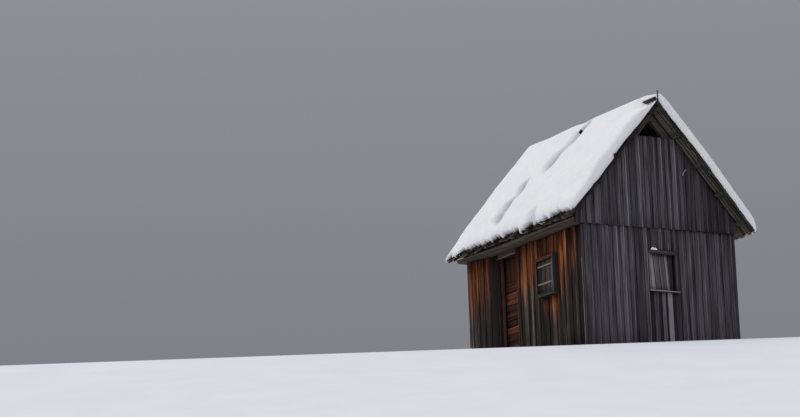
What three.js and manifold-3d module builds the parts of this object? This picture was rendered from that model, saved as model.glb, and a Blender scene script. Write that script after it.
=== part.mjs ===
// A small boarded mountain hut of squared timber with a steep shake roof under settled snow.
// Millimetres, +Z up. The origin is on the ground under the middle of the hut, the gable with the
// window faces -Y and the wall with the door faces -X.

import * as THREE from 'three';
import { mergeVertices } from 'three/addons/utils/BufferGeometryUtils.js';
import Module from 'manifold-3d';

const wasm = await Module();
wasm.setup();

// Walls, over the outer faces of the wall boards
const WALL_WIDTH = 3800;
const WALL_LENGTH = 4370;
const BOARD = 30;
const BOARD_FOOT = 15;
const POST = 160;
const TOUCH = 0.3;

const WALL_X = WALL_WIDTH / 2;
const WALL_Y = WALL_LENGTH / 2;
const FRAME_X = WALL_X - BOARD;
const FRAME_Y = WALL_Y - BOARD;
const ROOM_X = FRAME_X - POST;
const ROOM_Y = FRAME_Y - POST;

// Ground beams and floor
const SILL_HEIGHT = 180;
const SILL_LEDGE = 40;
const JOIST_WIDTH = 180;
const FLOOR_TOP = 220;

// Eaves, tie beams and the joint between the two tiers of gable boards
const EAVE_BEAM_BOTTOM = 2485;
const EAVE_BEAM_TOP = 2640;
const EAVE_BEAM_OUT = 2050;
const EAVE_BEAM_PAST_BACK = 150;
const TIE_BOTTOM = 2460;
const TIE_TOP = 2600;
const TIER_JOINT = 2515;
const GABLE_TOP = 4440;
const GABLE_LEFT = -2030;
const GABLE_RIGHT = 1910;

// Rails that the boards are nailed to
const RAIL_DEPTH = 100;
const RAIL_HEIGHT = 80;
const REAR_RAIL_TOP = 1340;

// Roof: a steep pitch, shakes on laths on rafters
const PITCH = THREE.MathUtils.degToRad(49.3);
const RIDGE = 5206;
const EAVE_REACH = 2263;
const VERGE_REACH = 200;
const COURSE = 750;
const COURSES = 5;
const SHAKES = 60;
const SHAKE = 22;
const LATH = 60;
const LATH_WIDTH = 80;
const LATH_ABOVE_BUTT = 350;
const RIDGE_LIP = 70;
const RAFTER_DEPTH = 120;
const RAFTER_WIDTH = 100;
const RAFTER_PAIRS = 4;
const RAFTER_SETBACK = 110;
const GABLE_RAIL_HEIGHT = 100;
const GABLE_RAIL_UNDER_TOP = 10;

const ROOF_Y = WALL_Y + VERGE_REACH;
const SLOPE = Math.tan(PITCH);
const SLOPE_LENGTH = EAVE_REACH / Math.cos(PITCH);
const RAFTER_TOP = RIDGE - (SHAKES + LATH + TOUCH) / Math.cos(PITCH);
const RAFTER_BOTTOM = RAFTER_TOP - RAFTER_DEPTH / Math.cos(PITCH);

// Snow on the roof. Its foot lies between start and the eave, and its upper face leans towards the ridge by
// lean for each unit of depth. On the left it ends retreat short of the eave, except at the back corner.
const SNOW_LEFT = {
  side: -1, start: 110, lean: 0.9, ridgeDepth: 155, depth: 215, edge: 150, retreat: 150,
};
const SNOW_RIGHT = {
  side: 1, start: -RIDGE_LIP, lean: 0.45, ridgeDepth: 90, depth: 285, edge: 350, retreat: 0,
};
const SNOW_REACH = 2350;
const SNOW_SWELL = 1200;
const SNOW_EDGE_SHARE = 0.12;
const SNOW_VERGE_SHARE = 0.35;
const SNOW_VERGE_ROUNDING = 95;
const SNOW_CORNER = [1800, 2250];
const SNOW_STEPS_ALONG = 22;
const SNOW_STEPS_DOWN = 12;
const SNOW_EDGE_STEPS = [0.75, 0.5, 0.3, 0.15, 0.05, 0];

// Stick on the front end of the ridge
const STICK = 18;
const STICK_BOTTOM = 5085;
const STICK_TOP = 5385;

// The snow stops behind the stick in front and laps the verge as far at the back
const SNOW_FRONT = -ROOF_Y;
const SNOW_BACK = ROOF_Y + STICK;

// Doorway in the -X wall, and the leaf that opens inwards
const DOOR_FRONT = 255;
const DOOR_BACK = 945;
const DOOR_BOARD_GAP = 60;
const DOOR_BOTTOM = 480;
const DOOR_TOP = 2400;
const JAMB = 140;
const LEAF = 35;
const LEAF_GAP = 5;
const LEAF_LATCH_GAP = 8;
const LEAF_LEDGE = 28;
const LEAF_LEDGE_HEIGHT = 110;
const LEAF_EDGE_TO_LEDGE = 70;

// Pin hinges on the inner face of the leaf
const HINGE_HEIGHTS = [900, 2000];
const PIN_FROM_LEAF = 18;
const PIN_PAST_POST = 3;
const PIN_RADIUS = 6;
const EYE_BORE = 6.8;
const EYE_RADIUS = 13;
const EYE_HEIGHT = 30;
const STRAP = 6;
const STRAP_LENGTH = 430;
const STRAP_FROM_PIN = 3;
const PINTLE_PLATE = 8;
const PINTLE_PLATE_WIDTH = 60;
const PINTLE_PLATE_HEIGHT = 70;
const PINTLE_ARM_BACK = 25;
const PINTLE_ARM_HEIGHT = 16;
const PINTLE_ARM_RIM = 2;
const PIN_IN_ARM = 10;
const PIN_OVER_EYE = 6;
const EYE_SIDES = 20;
const PIN_SIDES = 16;

// Window in the gable and window in the door wall
const FRONT_WINDOW = { low: -300, high: 400, bottom: 1225, top: 2080 };
const FRONT_WINDOW_JAMB = 50;
const FRONT_WINDOW_HEAD = 80;
const FRONT_WINDOW_PROUD = 20;
const WINDOW_SILL = 25;
const WINDOW_SILL_REACH = 50;
const WINDOW_SILL_LAP = 15;
const WINDOW_DEPTH = 120;
const SHUTTER = 25;
const SHUTTER_SETBACK = 60;
const FRONT_SHUTTER_GAP = 20;
const SIDE_WINDOW = { low: -1288, high: -655, bottom: 1238, top: 2050 };
const SIDE_WINDOW_RAIL = 70;
const SIDE_WINDOW_PROUD = 120;
const SIDE_SHUTTER_SETBACK = 25;

const OLD_BOARD = { color: 0x413f42, roughness: 0.92 };
const BROWN_BOARD = { color: 0x5e3a22, roughness: 0.88 };
const TIMBER = { color: 0x4b4641, roughness: 0.9 };
const ROOF_WOOD = { color: 0x3a352f, roughness: 0.93 };
const DOOR_WOOD = { color: 0x4a2c1e, roughness: 0.85 };
const IRON = { color: 0x3b2f29, roughness: 0.8, metalness: 0.7 };
const SNOW = { color: 0xe6e9ee, roughness: 0.9 };

const hut = new THREE.Group();
hut.name = 'hut';

function addPiece(name, geometry, finish) {
  const piece = new THREE.Mesh(geometry, new THREE.MeshStandardMaterial(finish));
  piece.name = name;
  hut.add(piece);
}

function block(x, y, z) {
  const geometry = new THREE.BoxGeometry(x[1] - x[0], y[1] - y[0], z[1] - z[0]);
  return geometry.translate((x[0] + x[1]) / 2, (y[0] + y[1]) / 2, (z[0] + z[1]) / 2);
}

function outline(points) {
  return new THREE.Shape(points.map(([a, b]) => new THREE.Vector2(a, b)));
}

function rectangle(low, high, bottom, top) {
  return outline([[low, bottom], [high, bottom], [high, top], [low, top]]);
}

// A flat shape drawn over X and Z and carried along Y
function alongY(shape, y) {
  const geometry = new THREE.ExtrudeGeometry(shape, { depth: y[1] - y[0], bevelEnabled: false });
  return geometry.rotateX(Math.PI / 2).translate(0, y[1], 0);
}

// A flat shape drawn over Y and Z and carried along X
function alongX(shape, x) {
  const geometry = new THREE.ExtrudeGeometry(shape, { depth: x[1] - x[0], bevelEnabled: false });
  const turn = new THREE.Matrix4().makeBasis(
    new THREE.Vector3(0, 1, 0),
    new THREE.Vector3(0, 0, 1),
    new THREE.Vector3(1, 0, 0),
  );
  return geometry.applyMatrix4(turn).translate(x[0], 0, 0);
}

function post(radius, z, sides, x, y) {
  const geometry = new THREE.CylinderGeometry(radius, radius, z[1] - z[0], sides);
  return geometry.rotateX(Math.PI / 2).translate(x, y, (z[0] + z[1]) / 2);
}

function toSolid(geometry) {
  const plain = geometry.clone();
  plain.deleteAttribute('normal');
  plain.deleteAttribute('uv');
  const merged = mergeVertices(plain, 1e-3);
  return new wasm.Manifold(new wasm.Mesh({
    numProp: 3,
    vertProperties: new Float32Array(merged.attributes.position.array),
    triVerts: new Uint32Array(merged.index.array),
  }));
}

function toGeometry(solid) {
  const mesh = solid.getMesh();
  const geometry = new THREE.BufferGeometry();
  geometry.setAttribute('position', new THREE.BufferAttribute(new Float32Array(mesh.vertProperties), 3));
  geometry.setIndex(new THREE.BufferAttribute(new Uint32Array(mesh.triVerts), 1));
  geometry.computeVertexNormals();
  return geometry;
}

function joined(...geometries) {
  const solids = geometries.map(toSolid);
  return toGeometry(solids.reduce((whole, solid) => whole.add(solid)));
}

function without(geometry, cut) {
  return toGeometry(toSolid(geometry).subtract(toSolid(cut)));
}

// Ground beams, the joist between them and the floor that lies on their inner ledges
function buildBase() {
  const inner = FRAME_X - POST - SILL_LEDGE;
  const innerY = FRAME_Y - POST - SILL_LEDGE;
  const height = [0, SILL_HEIGHT];
  addPiece('ground_beam_left', block([-FRAME_X, -inner], [-FRAME_Y, FRAME_Y], height), TIMBER);
  addPiece('ground_beam_right', block([inner, FRAME_X], [-FRAME_Y, FRAME_Y], height), TIMBER);
  const between = [-inner + TOUCH, inner - TOUCH];
  addPiece('ground_beam_front', block(between, [-FRAME_Y, -innerY], height), TIMBER);
  addPiece('ground_beam_back', block(between, [innerY, FRAME_Y], height), TIMBER);
  const joist = [-innerY + TOUCH, innerY - TOUCH];
  addPiece('floor_joist', block([-JOIST_WIDTH / 2, JOIST_WIDTH / 2], joist, height), TIMBER);
  const floor = block(
    [-ROOM_X + TOUCH, ROOM_X - TOUCH],
    [-ROOM_Y + TOUCH, ROOM_Y - TOUCH],
    [SILL_HEIGHT + TOUCH, FLOOR_TOP],
  );
  addPiece('floor_planks', floor, TIMBER);
}

function buildCornerPosts() {
  const height = [SILL_HEIGHT + TOUCH, EAVE_BEAM_BOTTOM - TOUCH];
  for (const [side, x] of [['left', -FRAME_X], ['right', ROOM_X]]) {
    for (const [end, y] of [['front', -FRAME_Y], ['back', ROOM_Y]]) {
      addPiece(`corner_post_${end}_${side}`, block([x, x + POST], [y, y + POST], height), TIMBER);
    }
  }
}

// Eave beams oversail the walls and stop behind the front gable boards
function buildBeams() {
  const length = [-WALL_Y, WALL_Y + EAVE_BEAM_PAST_BACK];
  const height = [EAVE_BEAM_BOTTOM, EAVE_BEAM_TOP];
  addPiece('eave_beam_left', block([-EAVE_BEAM_OUT, -ROOM_X], length, height), TIMBER);
  addPiece('eave_beam_right', block([ROOM_X, EAVE_BEAM_OUT], length, height), TIMBER);
  const span = [-ROOM_X + TOUCH, ROOM_X - TOUCH];
  const tie = [TIE_BOTTOM, TIE_TOP];
  addPiece('tie_beam_front', block(span, [-FRAME_Y, -ROOM_Y], tie), TIMBER);
  addPiece('tie_beam_back', block(span, [ROOM_Y, FRAME_Y], tie), TIMBER);
}

function buildRails() {
  const rear = [REAR_RAIL_TOP - RAIL_HEIGHT, REAR_RAIL_TOP];
  const across = [-ROOM_X + TOUCH, ROOM_X - TOUCH];
  const along = [-ROOM_Y + TOUCH, ROOM_Y - TOUCH];
  addPiece('wall_rail_right', block([FRAME_X - RAIL_DEPTH, FRAME_X], along, rear), TIMBER);
  addPiece('wall_rail_back', block(across, [FRAME_Y - RAIL_DEPTH, FRAME_Y], rear), TIMBER);
  const underFront = FRONT_WINDOW.bottom - TOUCH;
  const front = [underFront - RAIL_HEIGHT, underFront];
  addPiece('wall_rail_front', block(across, [-FRAME_Y, -FRAME_Y + RAIL_DEPTH], front), TIMBER);
  const underSide = SIDE_WINDOW.bottom - TOUCH;
  const left = block(
    [-FRAME_X, -FRAME_X + RAIL_DEPTH],
    [-ROOM_Y + TOUCH, DOOR_FRONT - JAMB - TOUCH],
    [underSide - RAIL_HEIGHT, underSide],
  );
  addPiece('wall_rail_left', left, TIMBER);
}

// The lower tier of a gable wall, notched under the eave beams
function lowerGableShape() {
  const notch = ROOM_X - TOUCH;
  const beam = EAVE_BEAM_BOTTOM - TOUCH;
  return outline([
    [-WALL_X, BOARD_FOOT], [WALL_X, BOARD_FOOT], [WALL_X, beam], [notch, beam],
    [notch, TIE_TOP], [-notch, TIE_TOP], [-notch, beam], [-WALL_X, beam],
  ]);
}

function underLaths(x) {
  return RAFTER_TOP - SLOPE * Math.abs(x);
}

// The upper tier follows the roof slopes up to a level top edge and leaves a triangle open above
function frontGableShape() {
  const flat = (RAFTER_TOP - GABLE_TOP) / SLOPE;
  return outline([
    [GABLE_LEFT, TIER_JOINT], [GABLE_RIGHT, TIER_JOINT], [GABLE_RIGHT, underLaths(GABLE_RIGHT)],
    [flat, underLaths(flat)], [-flat, underLaths(flat)], [GABLE_LEFT, underLaths(GABLE_LEFT)],
  ]);
}

function backGableShape() {
  const flat = (RAFTER_TOP - GABLE_TOP) / SLOPE;
  const notch = ROOM_X - TOUCH;
  const beam = EAVE_BEAM_TOP + TOUCH;
  return outline([
    [-notch, TIER_JOINT], [notch, TIER_JOINT], [notch, beam], [WALL_X, beam],
    [WALL_X, underLaths(WALL_X)], [flat, underLaths(flat)], [-flat, underLaths(flat)],
    [-WALL_X, underLaths(WALL_X)], [-WALL_X, beam], [-notch, beam],
  ]);
}

function windowHole(size) {
  return rectangle(size.low - TOUCH, size.high + TOUCH, size.bottom - TOUCH, size.top + TOUCH);
}

function buildGableBoards() {
  const front = lowerGableShape();
  front.holes.push(windowHole(FRONT_WINDOW));
  addPiece('boards_front', alongY(front, [-WALL_Y, -FRAME_Y - TOUCH]), OLD_BOARD);
  const upperFront = alongY(frontGableShape(), [-WALL_Y - BOARD, -WALL_Y - TOUCH]);
  addPiece('boards_front_gable', upperFront, OLD_BOARD);
  addPiece('boards_back', alongY(lowerGableShape(), [FRAME_Y + TOUCH, WALL_Y]), OLD_BOARD);
  const upperBack = alongY(backGableShape(), [WALL_Y + TOUCH, WALL_Y + BOARD]);
  addPiece('boards_back_gable', upperBack, OLD_BOARD);
}

function buildSideBoards() {
  const end = FRAME_Y;
  const top = EAVE_BEAM_BOTTOM - TOUCH;
  const left = [-WALL_X, -FRAME_X - TOUCH];
  const right = [FRAME_X + TOUCH, WALL_X];
  const front = rectangle(-end, DOOR_FRONT, BOARD_FOOT, top);
  front.holes.push(windowHole(SIDE_WINDOW));
  addPiece('boards_left_front', alongX(front, left), BROWN_BOARD);
  const behindDoor = [DOOR_BACK + DOOR_BOARD_GAP, end];
  addPiece('boards_left_back', block(left, behindDoor, [BOARD_FOOT, top]), BROWN_BOARD);
  addPiece('boards_right', block(right, [-end, end], [BOARD_FOOT, top]), OLD_BOARD);
}

// Door posts, lintel, and the boarded threshold that closes the wall under the doorway
function buildDoorFrame() {
  const deep = [-FRAME_X, -ROOM_X];
  const tall = [SILL_HEIGHT + TOUCH, EAVE_BEAM_BOTTOM - TOUCH];
  const front = [DOOR_FRONT - JAMB, DOOR_FRONT];
  const back = [DOOR_BACK, DOOR_BACK + JAMB];
  addPiece('door_post_front', block(deep, front, tall), TIMBER);
  addPiece('door_post_back', block(deep, back, tall), TIMBER);
  const span = [DOOR_FRONT + TOUCH, DOOR_BACK - TOUCH];
  const head = [DOOR_TOP, EAVE_BEAM_BOTTOM - TOUCH];
  addPiece('door_lintel', block([-WALL_X, -ROOM_X], span, head), TIMBER);
  const threshold = joined(
    block([-WALL_X, -FRAME_X], span, [BOARD_FOOT, DOOR_BOTTOM]),
    block([-FRAME_X - BOARD / 2, -ROOM_X], span, [SILL_HEIGHT + TOUCH, DOOR_BOTTOM]),
  );
  const clearOfBeam = block([-FRAME_X - TOUCH, -ROOM_X], span, [0, SILL_HEIGHT + TOUCH]);
  addPiece('door_threshold', without(threshold, clearOfBeam), TIMBER);
}

// The leaf hangs on pins at the front post, and two ledges hold its planks on the inside
const pinX = -ROOM_X + PIN_FROM_LEAF;
const pinY = DOOR_FRONT + PIN_PAST_POST;

function buildDoorLeaf() {
  const span = [DOOR_FRONT + LEAF_GAP, DOOR_BACK - LEAF_LATCH_GAP];
  const height = [DOOR_BOTTOM + LEAF_GAP, DOOR_TOP - LEAF_GAP];
  const planks = block([-ROOM_X - LEAF, -ROOM_X], span, height);
  const ledgeSpan = [span[0] + LEAF_EDGE_TO_LEDGE, span[1] - LEAF_EDGE_TO_LEDGE];
  const ledges = HINGE_HEIGHTS.map((centre) => {
    const bottom = centre - LEAF_LEDGE_HEIGHT - EYE_HEIGHT;
    return block([-ROOM_X - LEAF / 2, -ROOM_X + LEAF_LEDGE], ledgeSpan, [bottom, bottom + LEAF_LEDGE_HEIGHT]);
  });
  addPiece('door_leaf', joined(planks, ...ledges), DOOR_WOOD);
}

function buildHinge(name, centre) {
  const eye = [centre - EYE_HEIGHT / 2, centre + EYE_HEIGHT / 2];
  const seat = eye[0] - TOUCH;
  const ring = without(
    post(EYE_RADIUS, eye, EYE_SIDES, pinX, pinY),
    post(EYE_BORE, [eye[0] - TOUCH, eye[1] + TOUCH], PIN_SIDES, pinX, pinY),
  );
  const strapStart = pinY + STRAP_FROM_PIN;
  const face = -ROOM_X + TOUCH;
  const bar = block([face, face + STRAP], [strapStart, strapStart + STRAP_LENGTH], eye);
  addPiece(`hinge_strap_${name}`, joined(ring, bar), IRON);

  const plateEnd = DOOR_FRONT - LEAF_GAP;
  const plate = block(
    [face, face + PINTLE_PLATE],
    [plateEnd - PINTLE_PLATE_WIDTH, plateEnd],
    [seat - PINTLE_PLATE_HEIGHT, seat],
  );
  const armReach = PIN_RADIUS + PINTLE_ARM_RIM;
  const arm = block(
    [face + PINTLE_PLATE / 2, pinX + armReach],
    [DOOR_FRONT - PINTLE_ARM_BACK, pinY + armReach],
    [seat - PINTLE_ARM_HEIGHT, seat],
  );
  const pin = post(PIN_RADIUS, [seat - PIN_IN_ARM, eye[1] + PIN_OVER_EYE], PIN_SIDES, pinX, pinY);
  addPiece(`hinge_pin_${name}`, joined(plate, arm, pin), IRON);
}

// A box frame stands in the gable boards, with a sill below and boards nailed inside it
function buildFrontWindow() {
  const size = FRONT_WINDOW;
  const shape = rectangle(size.low, size.high, size.bottom, size.top);
  const low = size.low + FRONT_WINDOW_JAMB;
  const high = size.high - FRONT_WINDOW_JAMB;
  const top = size.top - FRONT_WINDOW_HEAD;
  const bottom = size.bottom + WINDOW_SILL;
  shape.holes.push(rectangle(low, high, bottom, top));
  const face = -WALL_Y - FRONT_WINDOW_PROUD;
  const frame = alongY(shape, [face, face + WINDOW_DEPTH]);
  const sill = block(
    [size.low - WINDOW_SILL_LAP, size.high + WINDOW_SILL_LAP],
    [-WALL_Y - WINDOW_SILL_REACH, -WALL_Y - TOUCH],
    [size.bottom, bottom],
  );
  addPiece('front_window_frame', joined(frame, sill), TIMBER);
  const shutter = face + SHUTTER_SETBACK;
  const boards = block(
    [low + TOUCH, high - FRONT_SHUTTER_GAP],
    [shutter, shutter + SHUTTER],
    [bottom + TOUCH, top - TOUCH],
  );
  addPiece('front_window_boards', boards, OLD_BOARD);
}

// The side window is a deeper box that stands out from the boards, closed by a panel
function buildSideWindow() {
  const size = SIDE_WINDOW;
  const shape = rectangle(size.low, size.high, size.bottom, size.top);
  const low = size.low + SIDE_WINDOW_RAIL;
  const high = size.high - SIDE_WINDOW_RAIL;
  const bottom = size.bottom + SIDE_WINDOW_RAIL;
  const top = size.top - SIDE_WINDOW_RAIL;
  shape.holes.push(rectangle(low, high, bottom, top));
  const face = -WALL_X - SIDE_WINDOW_PROUD;
  addPiece('side_window_frame', alongX(shape, [face, -FRAME_X + SIDE_WINDOW_PROUD]), TIMBER);
  const shutter = face + SIDE_SHUTTER_SETBACK;
  const panel = block(
    [shutter, shutter + SHUTTER],
    [low + TOUCH, high - TOUCH],
    [bottom + TOUCH, top - TOUCH],
  );
  addPiece('side_window_panel', panel, OLD_BOARD);
}

// Each pair is a V of two rafters halved together, cut level where they stand on the eave beams
function buildRafters() {
  const seat = EAVE_BEAM_TOP + TOUCH;
  const toe = (RAFTER_TOP - seat) / SLOPE;
  const heel = (RAFTER_BOTTOM - seat) / SLOPE;
  const shape = outline([
    [heel, seat], [toe, seat], [0, RAFTER_TOP], [-toe, seat], [-heel, seat], [0, RAFTER_BOTTOM],
  ]);
  const reach = WALL_Y - RAFTER_SETBACK - RAFTER_WIDTH / 2;
  for (let pair = 0; pair < RAFTER_PAIRS; pair += 1) {
    const y = -reach + (2 * reach * pair) / (RAFTER_PAIRS - 1);
    const geometry = alongY(shape, [y - RAFTER_WIDTH / 2, y + RAFTER_WIDTH / 2]);
    addPiece(`rafter_pair_${pair + 1}`, geometry, TIMBER);
  }
}

// Level rails on the end rafters, which hold the tops of the gable boards
function buildGableRails() {
  const top = GABLE_TOP - GABLE_RAIL_UNDER_TOP;
  const height = [top - GABLE_RAIL_HEIGHT, top];
  const reach = (RAFTER_TOP - top) / SLOPE - TOUCH;
  const near = WALL_Y - RAFTER_SETBACK + TOUCH;
  addPiece('gable_rail_front', block([-reach, reach], [-WALL_Y, -near], height), TIMBER);
  addPiece('gable_rail_back', block([-reach, reach], [near, WALL_Y], height), TIMBER);
}

// A point of the roof's section: down the slope from the ridge, and out from the top of the shakes
function onSlope(down, out, side) {
  const x = down * Math.cos(PITCH) + out * Math.sin(PITCH);
  const z = RIDGE - down * Math.sin(PITCH) + out * Math.cos(PITCH);
  return [side * x, z];
}

// Section of one roof side: lapped courses of shakes on top, laths below
function roofSection(side) {
  const lip = side > 0;
  const tops = [];
  const firstButt = SLOPE_LENGTH - (COURSES - 1) * COURSE;
  for (let course = 0; course < COURSES; course += 1) {
    const butt = firstButt + course * COURSE;
    if (course > 0) {
      tops.push([butt - COURSE, -SHAKE]);
    }
    tops.push([butt, 0]);
  }
  const highestLath = (SHAKES + LATH) * SLOPE + TOUCH;
  const laths = [];
  for (let course = COURSES - 1; course >= 0; course -= 1) {
    const centre = firstButt + course * COURSE - LATH_ABOVE_BUTT;
    const upper = Math.max(centre - LATH_WIDTH / 2, highestLath);
    const lower = upper + LATH_WIDTH;
    laths.push([lower, -SHAKES], [lower, -SHAKES - LATH], [upper, -SHAKES - LATH], [upper, -SHAKES]);
  }
  const points = [...tops, [SLOPE_LENGTH, -SHAKE * 2], ...laths].map(([s, n]) => onSlope(s, n, side));
  const top = lip
    ? [[side * TOUCH, RIDGE - SHAKES / Math.cos(PITCH)], [side * TOUCH, RIDGE - SHAKE / Math.cos(PITCH)],
      onSlope(-RIDGE_LIP, -SHAKE, side), onSlope(-RIDGE_LIP, 0, side)]
    : [[side * TOUCH, RIDGE - SHAKES / Math.cos(PITCH)], [side * TOUCH, RIDGE - 2 * SHAKE],
      [side * SHAKE, RIDGE - 2 * SHAKE]];
  points.push(...top);
  return outline(points);
}

function buildRoof() {
  addPiece('roof_shakes_left', alongY(roofSection(-1), [-ROOF_Y, ROOF_Y]), ROOF_WOOD);
  addPiece('roof_shakes_right', alongY(roofSection(1), [-ROOF_Y, ROOF_Y]), ROOF_WOOD);
  const stick = block([0, STICK], [-ROOF_Y - STICK, -ROOF_Y - TOUCH], [STICK_BOTTOM, STICK_TOP]);
  addPiece('ridge_stick', stick, TIMBER);
}

function easedStep(value) {
  const part = Math.min(Math.max(value, 0), 1);
  return part * part * (3 - 2 * part);
}

// A rounded edge as a share of the full depth: a quarter ellipse that rises from the given share to 1
function rounded(part, share) {
  const inside = 1 - Math.min(Math.max(part, 0), 1);
  return share + (1 - share) * Math.sqrt(1 - inside * inside);
}

// Share of the full depth that is left close to a verge
function vergeShare(y) {
  const toVerge = Math.min(SNOW_BACK - y, y - SNOW_FRONT);
  return rounded(toVerge / SNOW_VERGE_ROUNDING, SNOW_VERGE_SHARE);
}

function snowDepth(snow, down, toEnd, y) {
  const swell = easedStep((down - snow.start) / SNOW_SWELL);
  const body = snow.ridgeDepth + (snow.depth - snow.ridgeDepth) * swell;
  return body * vergeShare(y) * rounded(toEnd / snow.edge, SNOW_EDGE_SHARE);
}

// Where the snow ends above the eave, so that both sides bulge out to the same reach from the middle
function snowEnd(snow, y) {
  const bulges = SNOW_EDGE_STEPS.map((step) => {
    const depth = snow.depth * rounded(step, SNOW_EDGE_SHARE);
    return depth * Math.sin(PITCH) - step * snow.edge * Math.cos(PITCH);
  });
  const full = (SNOW_REACH - Math.max(...bulges)) / Math.cos(PITCH);
  const corner = easedStep((y - SNOW_CORNER[0]) / (SNOW_CORNER[1] - SNOW_CORNER[0]));
  return full - snow.retreat * (1 - corner);
}

// Distances from the lower edge for each row of points: even steps, then closer ones over the edge
function rowsFromEnd(start, end, edge) {
  const rows = [];
  for (let row = 0; row <= SNOW_STEPS_DOWN; row += 1) {
    rows.push(end - start - ((end - edge - start) * row) / SNOW_STEPS_DOWN);
  }
  return [...rows, ...SNOW_EDGE_STEPS.map((step) => step * edge)];
}

// A closed blanket: a grid on the shakes, a grid above it and the four edges between them
function snowBlanket(snow) {
  const across = SNOW_STEPS_ALONG;
  const downward = SNOW_STEPS_DOWN + SNOW_EDGE_STEPS.length;
  const positions = [];
  for (const layer of [0, 1]) {
    for (let row = 0; row <= downward; row += 1) {
      for (let column = 0; column <= across; column += 1) {
        const turn = Math.sin((Math.PI / 2) * ((2 * column) / across - 1));
        const y = SNOW_FRONT + ((SNOW_BACK - SNOW_FRONT) * (1 + turn)) / 2;
        const end = snowEnd(snow, y);
        const start = snow.start - layer * snow.lean * snow.ridgeDepth * vergeShare(y);
        const toEnd = rowsFromEnd(start, end, snow.edge)[row];
        const out = layer === 0 ? TOUCH : snowDepth(snow, end - toEnd, toEnd, y);
        const [x, z] = onSlope(end - toEnd, out, snow.side);
        positions.push(x, y, z);
      }
    }
  }
  const layerSize = (downward + 1) * (across + 1);
  const at = (layer, row, column) => layer * layerSize + row * (across + 1) + column;
  const faces = [];
  const quad = (a, b, c, d) => faces.push(a, b, c, a, c, d);
  for (let row = 0; row < downward; row += 1) {
    for (let column = 0; column < across; column += 1) {
      quad(at(1, row, column), at(1, row + 1, column), at(1, row + 1, column + 1), at(1, row, column + 1));
      quad(at(0, row, column), at(0, row, column + 1), at(0, row + 1, column + 1), at(0, row + 1, column));
    }
    quad(at(0, row, 0), at(0, row + 1, 0), at(1, row + 1, 0), at(1, row, 0));
    quad(at(0, row + 1, across), at(0, row, across), at(1, row, across), at(1, row + 1, across));
  }
  for (let column = 0; column < across; column += 1) {
    quad(at(0, 0, column + 1), at(0, 0, column), at(1, 0, column), at(1, 0, column + 1));
    const next = column + 1;
    quad(at(0, downward, column), at(0, downward, next), at(1, downward, next), at(1, downward, column));
  }
  if (snow.side < 0) {
    faces.reverse();
  }
  const geometry = new THREE.BufferGeometry();
  geometry.setAttribute('position', new THREE.Float32BufferAttribute(positions, 3));
  geometry.setIndex(faces);
  geometry.computeVertexNormals();
  return geometry;
}

function buildSnow() {
  addPiece('roof_snow_left', snowBlanket(SNOW_LEFT), SNOW);
  addPiece('roof_snow_right', snowBlanket(SNOW_RIGHT), SNOW);
}

buildBase();
buildCornerPosts();
buildBeams();
buildRails();
buildGableBoards();
buildSideBoards();
buildDoorFrame();
buildDoorLeaf();
buildHinge('lower', HINGE_HEIGHTS[0]);
buildHinge('upper', HINGE_HEIGHTS[1]);
buildFrontWindow();
buildSideWindow();
buildRafters();
buildGableRails();
buildRoof();
buildSnow();

export default hut;
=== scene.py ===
import math

import bpy
import numpy as np
from mathutils import Matrix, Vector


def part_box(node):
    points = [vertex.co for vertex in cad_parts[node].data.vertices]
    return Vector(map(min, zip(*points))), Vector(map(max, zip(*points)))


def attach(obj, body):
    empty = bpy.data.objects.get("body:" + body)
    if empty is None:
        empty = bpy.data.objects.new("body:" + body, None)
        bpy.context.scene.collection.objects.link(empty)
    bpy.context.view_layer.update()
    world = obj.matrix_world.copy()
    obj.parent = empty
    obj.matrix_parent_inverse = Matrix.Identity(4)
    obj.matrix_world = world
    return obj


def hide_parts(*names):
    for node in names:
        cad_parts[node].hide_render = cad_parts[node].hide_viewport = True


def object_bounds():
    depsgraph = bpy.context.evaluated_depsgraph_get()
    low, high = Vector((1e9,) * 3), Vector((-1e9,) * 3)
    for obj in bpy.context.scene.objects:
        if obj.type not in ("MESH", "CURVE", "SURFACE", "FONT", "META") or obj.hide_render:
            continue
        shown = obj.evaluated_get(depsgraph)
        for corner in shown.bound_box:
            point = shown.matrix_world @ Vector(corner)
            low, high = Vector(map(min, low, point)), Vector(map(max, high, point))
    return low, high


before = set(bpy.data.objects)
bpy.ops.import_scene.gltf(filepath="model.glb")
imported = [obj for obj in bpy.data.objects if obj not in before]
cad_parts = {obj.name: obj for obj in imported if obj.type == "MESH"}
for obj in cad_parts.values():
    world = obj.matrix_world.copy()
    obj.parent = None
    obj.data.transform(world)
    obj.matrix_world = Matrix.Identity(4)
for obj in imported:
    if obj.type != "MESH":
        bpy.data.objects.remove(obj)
cad_box = [[float(v) for v in corner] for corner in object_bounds()]

# Sizes in metres. The walls, beams and openings come from the frame.
BOARD = 0.030
BOARD_INNER = 0.016
BOARD_PITCH = 0.090
SIDE_PITCH = 0.118
BOARD_LAP = 0.018
EASE = 0.004
TOUCH = 0.0005
BOARD_GAP = 0.001
PITCH = math.radians(49.3)
RIDGE = 5.206
EAVE_REACH = 2.263
COURSE = 0.750
COURSES = 5
SHAKE = 0.017
SHAKE_LENGTH = 1.05
SHAKE_WIDTH = 0.115
VERGE_SHAKE_WIDTH = 0.056
VERGE_SHAKES = 4
VERGE_GAP = 0.012
RAISED_SHAKE_AT = (0.270, 0.060)
RAISED_SHAKE_WIDTH = 0.095
RAISED_SHAKE_RISE = 0.146
VERGE_OVERHANG = 0.014
LEFT_VERGE_STEP = 1.735
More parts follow.
